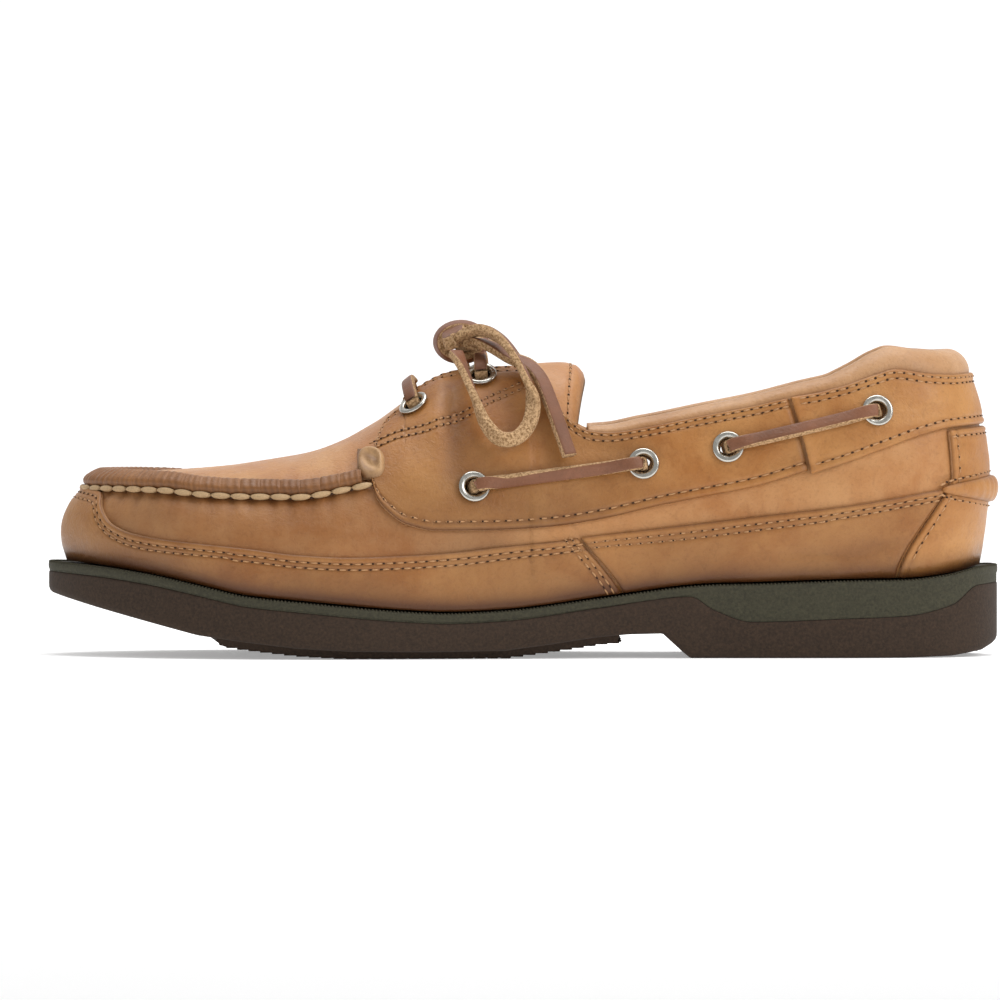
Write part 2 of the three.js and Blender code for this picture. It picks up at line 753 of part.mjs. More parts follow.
// The hollow upper: outer and inner skin, joined at the foot, the collar and the throat.
function makeUpper() {
  const stops = roundTheShoe(upperSteps);
  const shell = new Shell();
  const column = ({ side, s }, out) =>
    evenly(UPPER_ROWS).map((t) => lifted(side, s, Math.min(t, topEdge(side, s)), out));
  const face = (out) => stops.map((stop) => column(stop, out));
  const [outer, inner] = [face(0), face(-WALL)];
  const open = stops.map(({ side, s }) => topEdge(side, s) < 1);
  stops.forEach((_, i) => {
    const j = (i + 1) % stops.length;
    for (let k = 0; k < UPPER_ROWS; k += 1) {
      shell.quad(outer[i][k], outer[j][k], outer[j][k + 1], outer[i][k + 1]);
      shell.quad(inner[i][k], inner[i][k + 1], inner[j][k + 1], inner[j][k]);
    }
    shell.quad(outer[i][0], inner[i][0], inner[j][0], outer[j][0]);
    if (open[i] || open[j]) {
      const top = UPPER_ROWS;
      shell.quad(outer[i][top], outer[j][top], inner[j][top], inner[i][top]);
    }
  });
  return facingOut(shell.geometry());
}

const seamGap = SEAM_GAP / LENGTH;
const OVER = SKIN_GAP + OVERLAY;
const outerFace = () => OVER;
const innerFace = () => SKIN_GAP;

// Moves the joint of the strip and the band forward towards its top, on both panels alike.
function leanAtRear(side, s, w) {
  const joint = sectionFor(REAR_FRONT);
  const near = Math.max(1 - Math.abs(s - joint) / REAR_LEAN.reach, 0);
  const [low, high] = [onUpper(REAR_LOW)(side, joint), topEdge(side, joint)];
  const slant = sectionFor(REAR_FRONT + REAR_LEAN.slant) - joint;
  return s + slant * near * clamp((w - low) / (high - low), 0, 1);
}

function makeBand(side) {
  const low = onUpper(BAND_LOW);
  const front = onUpper(BAND_FRONT);
  return facingOut(
    panelGeometry({
      stops: stopsOnSide(side, REAR_FRONT + seamGap, BAND_TIP),
      rows: UPPER_ROWS,
      onGrid: true,
      low,
      high: (way, s) => {
        const tip = section(way, s).along > BAND_FRONT[0].along;
        return tip ? Math.min(topEdge(way, s), front(way, s)) : topEdge(way, s);
      },
      outer: outerFace,
      inner: innerFace,
      lean: leanAtRear,
    }),
  );
}

function makeRearStrip() {
  return facingOut(
    panelGeometry({
      stops: stopsRound(0, REAR_FRONT - seamGap, 10),
      rows: 3,
      low: onUpper(REAR_LOW),
      high: topEdge,
      outer: outerFace,
      inner: innerFace,
      lean: leanAtRear,
    }),
  );
}

// Upright seams lean with their place w on the skin, so both panels at a seam share a line.
const seamAt = ({ top, slant, reach }, w) => top + slant * Math.max(1 - w / reach, 0) ** SEAM_BEND;
const sideSeam = (w) => seamAt(SIDE_SEAM, w);
const counterSeam = (w) => seamAt(COUNTER_SEAM, w);

// A panel of rows by columns between two leaning seams, as a grid of points.
function leaningGrid({ side, top, rear, fore, count, rows, out }) {
  const first = rear ? sectionFor(rear(1)) : 0;
  const last = fore ? sectionFor(fore(1)) : 1;
  const mid = (first + last) / 2;
  return evenly(count).map((u) =>
    evenly(rows).map((t) => {
      let s = mid;
      for (let pass = 0; pass < 3; pass += 1) {
        const w = top(side, s) * t;
        s = blend(rear ? sectionFor(rear(w)) : 0, fore ? sectionFor(fore(w)) : 1, u);
      }
      return lifted(side, s, top(side, s) * t, out);
    }),
  );
}

function closeGrid(shell, front, back) {
  const [columns, rows] = [front.length - 1, front[0].length - 1];
  for (let i = 0; i < columns; i += 1) {
    for (let k = 0; k < rows; k += 1) {
      shell.quad(front[i][k], front[i + 1][k], front[i + 1][k + 1], front[i][k + 1]);
      shell.quad(back[i][k], back[i][k + 1], back[i + 1][k + 1], back[i + 1][k]);
    }
    shell.quad(front[i][0], back[i][0], back[i + 1][0], front[i + 1][0]);
    shell.quad(front[i][rows], front[i + 1][rows], back[i + 1][rows], back[i][rows]);
  }
  for (const [i, turned] of [[0, false], [columns, true]]) {
    for (let k = 0; k < rows; k += 1) {
      const corners = [front[i][k], front[i][k + 1], back[i][k + 1], back[i][k]];
      shell.quad(...(turned ? corners.reverse() : corners));
    }
  }
  return facingOut(shell.geometry());
}

// Two halves that meet at the toe's or the heel's middle line, as one closed panel.
function joinedHalves(half, meetsLast) {
  const whole = (out) => {
    const [outside, inside] = [half(1, out), half(-1, out)];
    if (meetsLast) return [...outside, ...inside.slice(0, -1).reverse()];
    return [...outside.slice(1).reverse(), ...inside];
  };
  return closeGrid(new Shell(), whole(OVER), whole(SKIN_GAP));
}

const foxingTop = onUpper(FOXING_TOP);
const rearLow = onUpper(REAR_LOW);

function makeFrontFoxing() {
  const rear = (w) => sideSeam(w) + seamGap;
  const grid = { top: foxingTop, rear, fore: null, count: 26, rows: 4 };
  const half = (side, out) => leaningGrid({ ...grid, side, out });
  return joinedHalves(half, true);
}

function makeRearFoxing(side) {
  const rear = (w) => counterSeam(w) + seamGap;
  const fore = (w) => sideSeam(w) - seamGap;
  const grid = { side, top: foxingTop, rear, fore, count: 13, rows: 3 };
  const face = (out) => leaningGrid({ ...grid, out });
  return closeGrid(new Shell(), face(OVER), face(SKIN_GAP));
}

function makeCounter() {
  const top = (side, s) => rearLow(side, s) - SEAM_GAP / INSTEP_HEIGHT;
  const fore = (w) => counterSeam(w) - seamGap;
  const grid = { top, rear: null, fore, count: 8, rows: 5 };
  const half = (side, out) => leaningGrid({ ...grid, side, out });
  return joinedHalves(half, false);
}

const bow = (t) => Math.sqrt(Math.max(1 - (2 * t - 1) ** 2, 0));

function makeKicker() {
  const at = (above) => (side, s) => {
    const cut = section(side, s);
    return atHeight(cut, KICKER_LOW * upperLine(cut.along) + above);
  };
  const seat = OVER + SKIN_GAP;
  const swell = (t, part) => KICKER_BULGE * bow(t) * Math.sin(Math.PI * part) ** 0.4;
  return facingOut(
    panelGeometry({
      stops: stopsRound(0, COUNTER_SEAM.top, 8),
      rows: 4,
      low: at(0),
      high: at(KICKER_HEIGHT),
      outer: (t, part) => seat + GAP + swell(t, part),
      inner: () => seat,
    }),
  );
}

// The padded roll along the collar, from one side of the throat round the heel to the other.
function makeCollarPad() {
  const above = (side, s, share) => {
    const cut = section(side, s);
    const edge = smooth(COLLAR_LINE, "height", cut.along) * COLLAR_HEIGHT + PAD_GAP;
    return atHeight(cut, edge + share * PAD_HEIGHT * smooth(PAD_RISE, "height", cut.along));
  };
  const middle = (t) => -PAD_INSIDE - PAD_LEAN * t * t;
  const half = (t) => Math.max((PAD_THICK / 2) * bow(blend(0.12, 1, t)), PAD_RIM);
  return facingOut(
    panelGeometry({
      stops: stopsRound(0, PAD_FRONT, 17),
      rows: 4,
      low: (side, s) => above(side, s, 0),
      high: (side, s) => above(side, s, 1),
      outer: (t) => middle(t) + half(t),
      inner: (t) => middle(t) - half(t),
    }),
  );
}

// The raised moccasin seam round the plug; it thickens into a bead at its two ends.
function makeRidge() {
  const at = (share) => (side, s, part) => {
    const cut = section(side, s);
    const end = 1 + 0.5 * Math.exp(-(((1 - Math.abs(2 * part - 1)) / 0.03) ** 2));
    const height = smooth(RIDGE_LINE, "height", cut.along) * upperLine(cut.along);
    return atHeight(cut, height + RIDGE_WIDTH * 0.5 * share * end);
  };
  return facingOut(
    panelGeometry({
      stops: stopsRound(1, RIDGE_END, 24),
      rows: 3,
      low: at(-1),
      high: at(1),
      outer: (t) => SKIN_GAP + blend(RIDGE_RIM, RIDGE_HEIGHT, bow(blend(0.04, 0.96, t))),
      inner: innerFace,
    }),
  );
}

// The tongue: a sheet under the throat, which ends in a saddle above the collar.
function makeTongue() {
  const shell = new Shell();
  const [front, rear] = [sectionFor(TONGUE_FRONT), sectionFor(TONGUE_REAR)];
  const side = (s) => {
    const cut = section(1, s);
    const wide = atHalf(cut, TONGUE_HALF);
    const deep = atHeight(cut, TONGUE_DROP * upperLine(cut.along));
    return Math.min(wide, Math.max(deep, wide - 0.2));
  };
  const grid = (out) =>
    evenly(14).map((u) => {
      const s = blend(rear, front, u);
      const low = side(s);
      const half = (way) => evenly(5).map((t) => lifted(way, s, blend(low, 1, t), out));
      return [...half(1), ...half(-1).slice(0, -1).reverse()];
    });
  const under = -WALL - TONGUE_GAP;
  return closeGrid(shell, grid(under), grid(under - TONGUE_THICK));
}

// Eyelet: a domed ring on a barrel, turned round the skin's normal.
function eyeletGeometry() {
  const [hole, skinRadius] = [EYELET_HOLE, EYELET_HOLE + EYELET_SKIN];
  const foot = -WALL - EYELET_FOOT;
  const seat = OVER + EYELET_SEAT;
  const profile = [
    [hole, foot],
    [skinRadius, foot],
    [skinRadius, seat],
    [EYELET_RADIUS, seat],
    [EYELET_RADIUS - EYELET_LIP, seat + EYELET_DOME * 0.8],
    [hole + EYELET_ROLL, seat + EYELET_DOME],
    [hole, foot],
  ].map(([r, z]) => new THREE.Vector2(r, z));
  return new THREE.LatheGeometry(profile, ROUND_SIDES).rotateX(Math.PI / 2);
}

function eyeletPlaces(side) {
  return EYELETS.map(({ along, height }) => {
    const s = sectionFor(along);
    const w = atHeight(section(side, s), height * upperLine(along));
    const at = lifted(side, s, w, 0);
    const normal = lifted(side, s, w, 1).sub(at);
    return { at, normal, s, w, side };
  });
}

function placed(geometry, { at, normal }) {
  const turn = new THREE.Quaternion().setFromUnitVectors(new THREE.Vector3(0, 0, 1), normal);
  return geometry.applyQuaternion(turn).translate(at.x, at.y, at.z);
}

function drilled(geometry, places) {
  const radius = EYELET_HOLE + EYELET_SKIN + GAP;
  const length = 4 * (WALL + OVER);
  let solid = solidOf(geometry);
  for (const place of places) {
    const drill = new THREE.CylinderGeometry(radius, radius, length, ROUND_SIDES).rotateX(Math.PI / 2);
    solid = solid.subtract(solidOf(placed(drill, place)));
  }
  return geometryOf(solid);
}

// The lace is an eight-sided strip with rounded corners, swept along a smooth curve.
function laceGeometry(points, steps) {
  const corners = evenly(LACE_CORNERS).slice(0, -1).map((t) => {
    const turn = (t + 0.5 / LACE_CORNERS) * 2 * Math.PI;
    return new THREE.Vector2((Math.cos(turn) * LACE_THICK) / 2, (Math.sin(turn) * LACE_WIDTH) / 2);
  });
  const path = new THREE.CatmullRomCurve3(points, false, "centripetal");
  return new THREE.ExtrudeGeometry(new THREE.Shape(corners), { steps, extrudePath: path });
}

// A lace point over the skin: place along, height as a share of the upper's line, distance out.
function overSkin(side, along, height, out) {
  const s = sectionFor(along);
  return lifted(side, s, atHeight(section(side, s), height * upperLine(along)), out);
}

const laceOut = OVER + EYELET_SEAT + EYELET_DOME + LACE_LIFT + LACE_WIDTH / 2;

function makeSideRun(side, from, to) {
  const [a, b] = [EYELETS[from], EYELETS[to]];
  const points = evenly(6).map((t) => {
    const out = laceOut - LACE_SAG * Math.sin(Math.PI * t) ** 0.5;
    return overSkin(side, blend(a.along, b.along, t), blend(a.height, b.height, t), out);
  });
  return laceGeometry(points, 6);
}

// A lace bar over the throat, between the eyelets of one row; crown is its height over the skin.
function makeThroatBar(row, crown) {
  const { along, height } = EYELETS[row];
  const s = sectionFor(along);
  const half = (side) => {
    const cut = section(side, s);
    const eyelet = skin(cut, atHeight(cut, height * upperLine(along)));
    const start = atHalf(cut, Math.abs(eyelet.y - cut.y) - EYELET_RADIUS - LACE_LIFT);
    const low = OVER + LACE_LIFT + LACE_WIDTH / 2;
    const shoulder = lifted(side, s, blend(start, 1, 0.5), blend(low, crown, 0.6));
    return [lifted(side, s, start, low), shoulder];
  };
  return laceGeometry([...half(1), lifted(1, s, 1, crown), ...half(-1).reverse()], 10);
}

// The bow lies on the skin: along the shoe, up from the skin's foot (0) to its crest (1), out.
const KNOT = { along: 0.56, length: 15, width: 20, height: 11, lift: 8.6 };
const LOOP = table(
  "along up out",
  [0.564, 0.884, 9.6],
  [0.552, 0.865, 11.8],
  [0.538, 0.84, 13],
  [0.52, 0.78, 12.4],
  [0.505, 0.69, 11],
  [0.494, 0.6, 9],
  [0.4895, 0.52, 8],
  [0.495, 0.455, 7],
  [0.509, 0.42, 7],
  [0.526, 0.425, 7],
  [0.54, 0.475, 7],
  [0.55, 0.57, 7.5],
  [0.559, 0.69, 8],
  [0.565, 0.79, 9],
);
const LACE_END = table(
  "along up out",
  [0.5487, 0.8935, 7.8],
  [0.541, 0.85, 8.7],
  [0.527, 0.8, 8],
  [0.51, 0.76, 5.6],
  [0.494, 0.71, 5.6],
  [0.4815, 0.64, 5.6],
  [0.47, 0.52, 5.5],
  [0.461, 0.42, 5.6],
  [0.4525, 0.335, 6],
);

const route = (side, rows) => rows.map((r) => lifted(side, sectionFor(r.along), r.up, r.out));

makeOutsole();
makeMidsole();
makeInsole();
const places = { 1: eyeletPlaces(1), "-1": eyeletPlaces(-1) };
const allPlaces = [...places[1], ...places[-1]];
add("upper", drilled(makeUpper(), allPlaces), plugLeather);
add("tongue", makeTongue(), plugLeather);
add("foxing_front", makeFrontFoxing(), leather);
add("rear_strip", drilled(makeRearStrip(), [places[1][5], places[-1][5]]), leather);
add("heel_counter", makeCounter(), leather);
add("heel_kicker", makeKicker(), leather);
add("collar_pad", makeCollarPad(), leather);
add("moc_seam", makeRidge(), ridgeLeather);
for (const [side, word] of [[1, "lateral"], [-1, "medial"]]) {
  add("foxing_rear_" + word, makeRearFoxing(side), leather);
  add("side_band_" + word, drilled(makeBand(side), places[side].slice(0, 5)), leather);
  places[side].forEach((place, i) => {
    add("eyelet_" + word + "_" + (i + 1), placed(eyeletGeometry(), place), nickel);
  });
  add("lace_run_" + word + "_front", makeSideRun(side, 2, 3), laceLeather);
  add("lace_run_" + word + "_rear", makeSideRun(side, 4, 5), laceLeather);
  add("lace_loop_" + word, laceGeometry(route(side, LOOP), 18), laceLeather);
  add("lace_end_" + word, laceGeometry(route(side, LACE_END), 8), laceLeather);
}
add("lace_throat_bar_front", makeThroatBar(0, BAR_CROWN.front), laceLeather);
add("lace_throat_bar_rear", makeThroatBar(1, BAR_CROWN.rear), laceLeather);
const knotAt = lifted(1, sectionFor(KNOT.along), 1, KNOT.lift);
const knot = new THREE.SphereGeometry(0.5, 12, 8).scale(KNOT.length, KNOT.width, KNOT.height);
add("lace_knot", knot.translate(knotAt.x, knotAt.y, knotAt.z), laceLeather);

export default shoe;
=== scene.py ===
"""A leather boat shoe for the left foot: fine surface, seams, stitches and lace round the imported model."""

import bmesh
import bpy
import numpy as np
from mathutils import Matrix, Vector


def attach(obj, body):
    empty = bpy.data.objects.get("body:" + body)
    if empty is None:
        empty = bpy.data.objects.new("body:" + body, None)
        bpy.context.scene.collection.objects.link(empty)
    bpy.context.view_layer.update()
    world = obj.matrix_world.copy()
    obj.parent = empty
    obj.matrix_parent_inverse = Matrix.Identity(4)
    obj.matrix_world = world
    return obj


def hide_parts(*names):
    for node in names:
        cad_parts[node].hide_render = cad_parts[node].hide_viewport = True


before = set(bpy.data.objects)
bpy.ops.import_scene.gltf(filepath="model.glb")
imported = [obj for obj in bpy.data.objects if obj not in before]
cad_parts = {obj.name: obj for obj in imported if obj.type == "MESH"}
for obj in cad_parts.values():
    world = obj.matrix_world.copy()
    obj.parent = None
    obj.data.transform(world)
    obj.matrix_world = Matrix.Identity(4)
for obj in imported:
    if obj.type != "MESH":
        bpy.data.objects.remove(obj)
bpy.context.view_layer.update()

MM = 0.001

# Sizes of the model, in millimetres, as in the part's source
LENGTH, BALL_WIDTH, HEEL_WIDTH = 302, 108, 73
SIDE_HEIGHT, TOE_LIFT = 25, 20
WELT_HEIGHT = 2.6
INSTEP_HEIGHT, COLLAR_HEIGHT = 93, 91
WALL, OVERLAY, SKIN_GAP, FOOT_GAP = 2, 1.1, 0.5, 0.55
SEAM_GAP = 0.5
EDGE_SIDE, EDGE_END = 4.2, 7.4
BULGE_HEEL, BULGE_TOE = 3.4, 2.2
BULGE_REACH_HEEL, BULGE_REACH_TOE = 0.6, 0.75  # the bulge ends at this share of the crest
THROAT_HALF = 16
INSOLE_THICK = 3.4
TONGUE_THICK, TONGUE_HALF, TONGUE_GAP = 2.2, 27, 0.95
PAD_THICK, PAD_HEIGHT, PAD_GAP = 7, 7.4, 0.8
PAD_INSIDE, PAD_LEAN = 3, 2.5
RIDGE_HEIGHT, RIDGE_WIDTH = 3.7, 3.6
KICKER_BULGE, KICKER_HEIGHT = 2.2, 8.5
EYELET_RADIUS, EYELET_HOLE = 5, 2.7
DRILL_RADIUS, DRILL_REACH = EYELET_HOLE + 0.45, 7
LACE_WIDTH, LACE_THICK = 4.1, 2.6
LACE_CORNER = 0.42  # power of the section's corners: 1 is an ellipse, 0 a rectangle
BOW_WIDTH = 4.7  # the lace is pulled flatter in the bow than in its runs
BAR_RISE = {"front": 4.6, "rear": 3.0}

STITCH_PITCH = 3.4  # machine seams
SEAM_IN = 2.4  # first row, in from a panel's edge
ROW_APART = 2.0
RIDGE_PITCH = 6.4  # hand-sewn stitches and gathers of the moccasin seam
RIB_PITCH = 1.15  # teeth on the sole's lip
TREAD_DEPTH, TREAD_INSET = 2.6, 6
SIPE_DEPTH = 0.4  # cuts between the tread's bars
BAR_PITCH = 3.9
BAR_FOOT, BAR_TOP = 1.6, 1.45  # half widths of a bar
EYESTAY_ROW = 2.0  # second row, above the first
OUTLINE_STEPS = 14  # points of the outline's curve to each row of its table

SIDES = ((1, "lateral"), (-1, "medial"))


def table(columns, *rows):
    """A short table as a dictionary of columns."""
    return {name: np.array([row[i] for row in rows], dtype=object if name == "of" else float)
            for i, name in enumerate(columns.split())}


OUTLINE = table(
    "along across of",
    (0, 0, "heel"), (0.02, 0.52, "heel"), (0.06, 0.81, "heel"), (0.126, 0.96, "heel"),
    (0.205, 1, "heel"), (0.315, 1, "heel"), (0.414, 0.72, "ball"), (0.513, 0.83, "ball"),
    (0.613, 0.94, "ball"), (0.695, 0.98, "ball"), (0.778, 0.93, "ball"), (0.861, 0.76, "ball"),
    (0.927, 0.51, "ball"), (0.974, 0.22, "ball"), (1, -0.11, "ball"), (0.987, -0.41, "ball"),
    (0.947, -0.67, "ball"), (0.881, -0.87, "ball"), (0.795, -0.99, "ball"), (0.712, -1.02, "ball"),
    (0.613, -0.93, "ball"), (0.513, -0.76, "ball"), (0.414, -0.64, "ball"), (0.315, -0.9, "heel"),
    (0.205, -0.96, "heel"), (0.126, -0.96, "heel"), (0.06, -0.81, "heel"), (0.02, -0.52, "heel"),
)
SOLE_SIDE = table(
    "along top border",
    (0, 1.16, 0.95), (0.007, 1.16, 0.94), (0.023, 1.14, 0.92), (0.05, 1.06, 0.68), (0.1, 0.99, 0.54),
    (0.16, 0.98, 0.51), (0.26, 0.94, 0.47), (0.3, 0.93, 0.62), (0.325, 0.91, 0.79), (0.42, 0.76, 0.65),
    (0.52, 0.61, 0.49), (0.58, 0.58, 0.46), (0.63, 0.61, 0.49), (0.73, 0.72, 0.6), (0.787, 0.79, 0.67),
    (0.84, 0.93, 0.81), (0.892, 1.06, 0.94), (0.946, 1.15, 1.03), (1, 1.2, 1.08),
)
SOLE_BOTTOM = table(
    "along low of",
    (0, 0.19, "side"), (0.018, 0.08, "side"), (0.05, 0.02, "side"), (0.1, 0, "side"), (0.325, 0, "side"),
    (0.334, 0.09, "side"), (0.344, 0.2, "side"), (0.354, 0.31, "side"), (0.39, 0.3, "side"),
    (0.42, 0.27, "side"), (0.47, 0.18, "side"), (0.52, 0.1, "side"), (0.6, 0.09, "side"), (0.68, 0.1, "side"),
    (0.735, 0.17, "toe"), (0.787, 0.26, "toe"), (0.84, 0.37, "toe"), (0.892, 0.57, "toe"),
    (0.946, 0.78, "toe"), (1, 1, "toe"),
)
LAST = table(
    "along crest boxy lean plump",
    (0, 1.36, 3.2, 0, 1), (0.1, 1.36, 3.2, 0, 1), (0.2, 1.3, 3, 0, 0.9), (0.3, 1.2, 2.8, 0.005, 0.7),
    (0.4, 1.1, 2.5, 0.012, 0.5), (0.46, 1.045, 2.3, 0.02, 0.4), (0.52, 1.015, 2.2, 0.03, 0.4),
    (0.57, 0.985, 2.2, 0.035, 0.4), (0.6, 0.935, 2.2, 0.035, 0.45), (0.63, 0.855, 2.3, 0.035, 0.5),
    (0.66, 0.787, 2.45, 0.035, 0.6), (0.69, 0.734, 2.6, 0.035, 0.7), (0.735, 0.685, 2.8, 0.035, 0.8),
    (0.79, 0.655, 2.9, 0.04, 0.9), (0.85, 0.632, 3.1, 0.045, 1), (0.9, 0.612, 3.4, 0.05, 1),
    (1, 0.6, 3.6, 0.05, 1),
)
COLLAR_LINE = table(
    "along height",
    (0, 0.985), (0.03, 0.98), (0.06, 0.985), (0.1, 1), (0.125, 0.98), (0.155, 0.945), (0.21, 0.91),
    (0.26, 0.87), (0.315, 0.835), (0.375, 0.795), (0.41, 0.78), (0.43, 0.785), (0.45, 0.82),
    (0.465, 0.88), (0.48, 0.955), (0.495, 1.03), (0.52, 1.2),
)
PAD_RISE = table(
    "along height",
    (0, 1.06), (0.044, 1.1), (0.078, 1.05), (0.123, 1), (0.139, 0.96), (0.155, 0.88),
    (0.171, 0.74), (0.187, 0.62), (0.218, 0.58), (0.313, 0.55), (0.376, 0.56), (0.418, 0.42), (0.434, 0.3),
)
THROAT_LINE = table(
    "along half",
    (0.47, 1.2), (0.5, 1), (0.55, 0.88), (0.6, 0.72), (0.618, 0.6), (0.627, 0.4), (0.632, 0),
)
BAND_LOW = table(
    "along height",
    (0.203, 0.635), (0.26, 0.58), (0.315, 0.545), (0.355, 0.52), (0.42, 0.472), (0.475, 0.446),
    (0.53, 0.436), (0.59, 0.434), (0.622, 0.455), (0.642, 0.5), (0.652, 0.54), (0.658, 0.6),
)
BAND_FRONT = table(
    "along height",
    (0.622, 0.845), (0.632, 0.822), (0.64, 0.8), (0.647, 0.765), (0.653, 0.715), (0.658, 0.65),
)
REAR_LOW = table(
    "along height",
    (0, 0.79), (0.04, 0.78), (0.07, 0.76), (0.123, 0.705), (0.155, 0.668), (0.198, 0.625),
)
FOXING_TOP = table(
    "along height",
    (0.05, 0.575), (0.155, 0.52), (0.26, 0.48), (0.375, 0.435), (0.43, 0.415), (0.46, 0.4),
    (0.523, 0.38), (0.577, 0.36), (0.63, 0.35), (0.68, 0.345), (0.735, 0.353), (0.787, 0.373),
    (0.84, 0.39), (0.88, 0.403), (0.914, 0.42), (0.94, 0.45), (0.958, 0.5), (0.972, 0.55), (1, 0.565),
)
RIDGE_LINE = table(
    "along height",
    (0.67, 0.6), (0.69, 0.585), (0.735, 0.562), (0.787, 0.562), (0.84, 0.568), (0.892, 0.582),
    (0.95, 0.585), (1, 0.585),
)
# Leaning seams: place along the shoe at the top, slant at the foot, how far up it reaches
SIDE_SEAM, COUNTER_SEAM, SEAM_BEND = (0.448, -0.0505, 0.155), (0.046, 0.057, 0.095), 1.35
REAR_LEAN, REAR_LEAN_REACH = 0.022, 0.06
KICKER_LOW, REAR_FRONT, BAND_TIP, RIDGE_END = 0.525, 0.2, 0.658, 0.668
TONGUE_FRONT, TONGUE_REAR, TONGUE_DROP = 0.66, 0.437, 0.69
TONGUE_LIP = 0.007
PAD_FRONT = 0.432
EYELETS = ((0.611, 0.845), (0.543, 0.94), (0.552, 0.577), (0.374, 0.655), (0.285, 0.712), (0.126, 0.835))
HEEL_PIVOT, TOE_PIVOT, FAN_TRAVEL, FAN_SHARE = 0.115, 0.865, 0.06, 0.2
KNOT = {"along": 0.56, "lift": 8.6}
LOOP = (
    (0.564, 0.884, 9.6), (0.552, 0.865, 11.8), (0.538, 0.84, 13), (0.52, 0.78, 12.4), (0.505, 0.69, 11),
    (0.494, 0.6, 9), (0.4895, 0.52, 8), (0.495, 0.455, 7), (0.509, 0.42, 7), (0.526, 0.425, 7),
    (0.54, 0.475, 7), (0.55, 0.57, 7.5), (0.559, 0.69, 8), (0.565, 0.79, 9),
)
LACE_END = (
    (0.5487, 0.8935, 7.8), (0.541, 0.85, 8.7), (0.527, 0.8, 8), (0.51, 0.76, 5.6), (0.494, 0.71, 5.6),
    (0.4815, 0.64, 5.6), (0.47, 0.52, 5.5), (0.461, 0.42, 5.6), (0.4525, 0.335, 6),
)
BAR_CROWN = {"front": 3.0, "rear": 0.8}


def smooth(rows, column, along):
    """A curve through a column that never overshoots its rows."""
    x, y = rows["along"], rows[column]
    rise = np.diff(y) / np.diff(x)
    slope = np.empty(len(x))
    slope[0], slope[-1] = rise[0], rise[-1]
    product = rise[:-1] * rise[1:]
    total = rise[:-1] + rise[1:]
    slope[1:-1] = np.where(product > 0, 2 * product / np.where(product > 0, total, 1), 0)
    at = np.clip(np.asarray(along, float), x[0], x[-1])
    i = np.clip(np.searchsorted(x, at, side="right") - 1, 0, len(x) - 2)
    run = x[i + 1] - x[i]
    t = (at - x[i]) / run
    a, b, u, v = y[i], y[i + 1], slope[i] * run, slope[i + 1] * run
    return a + t * u + t * t * (3 * (b - a) - 2 * u - v) + t**3 * (2 * (a - b) + u + v)


def centripetal(points, per_span, closed=False):
    """Catmull-Rom curve with centripetal spacing through points."""
    p = np.asarray(points, float)
    n = len(p)
    if closed:
        q = [p[(i - 1) % n] for i in range(n + 3)]
    else:
        q = [2 * p[0] - p[1], *p, 2 * p[-1] - p[-2]]
    made = []
    for i in range(n if closed else n - 1):
        a, b, c, d = q[i : i + 4]
        k0, k1, k2 = (max(np.linalg.norm(v), 1e-6) ** 0.5 for v in (b - a, c - b, d - c))
        u = ((b - a) / k0 - (c - a) / (k0 + k1) + (c - b) / k1) * k1
        v = ((c - b) / k1 - (d - b) / (k1 + k2) + (d - c) / k2) * k1
        t = np.linspace(0, 1, per_span, endpoint=False)[:, None]
        made.append(b + t * u + t * t * (3 * (c - b) - 2 * u - v) + t**3 * (2 * (b - c) + u + v))
    if not closed:
        made.append(p[-1][None, :])
    return np.vstack(made)


HALF = {"heel": HEEL_WIDTH / 2, "ball": BALL_WIDTH / 2}
rounded = [(along * LENGTH, across * HALF[of]) for along, across, of in zip(*OUTLINE.values())]
outline = centripetal(rounded, OUTLINE_STEPS, True)
outline = np.vstack([outline, outline[:1]])
SHIFT = -(outline.min(0) + outline.max(0)) / 2


def reach_of(x, y, dx, dy):
    """Distance from places inside the outline to it."""
    a, b = outline[:-1], outline[1:]
    e = b - a
    cross = dx[:, None] * e[:, 1] - dy[:, None] * e[:, 0]
    cross = np.where(np.abs(cross) < 1e-9, 1e-9, cross)
    px, py = a[:, 0] - x[:, None], a[:, 1] - y[:, None]
    r = (px * e[:, 1] - py * e[:, 0]) / cross
    t = (px * dy[:, None] - py * dx[:, None]) / cross
    return np.where((r > 0) & (t >= -1e-6) & (t <= 1 + 1e-6), r, 0).max(1)


def sole_top(along):
    return smooth(SOLE_SIDE, "top", along) * SIDE_HEIGHT


def sole_border(along):
    return smooth(SOLE_SIDE, "border", along) * SIDE_HEIGHT


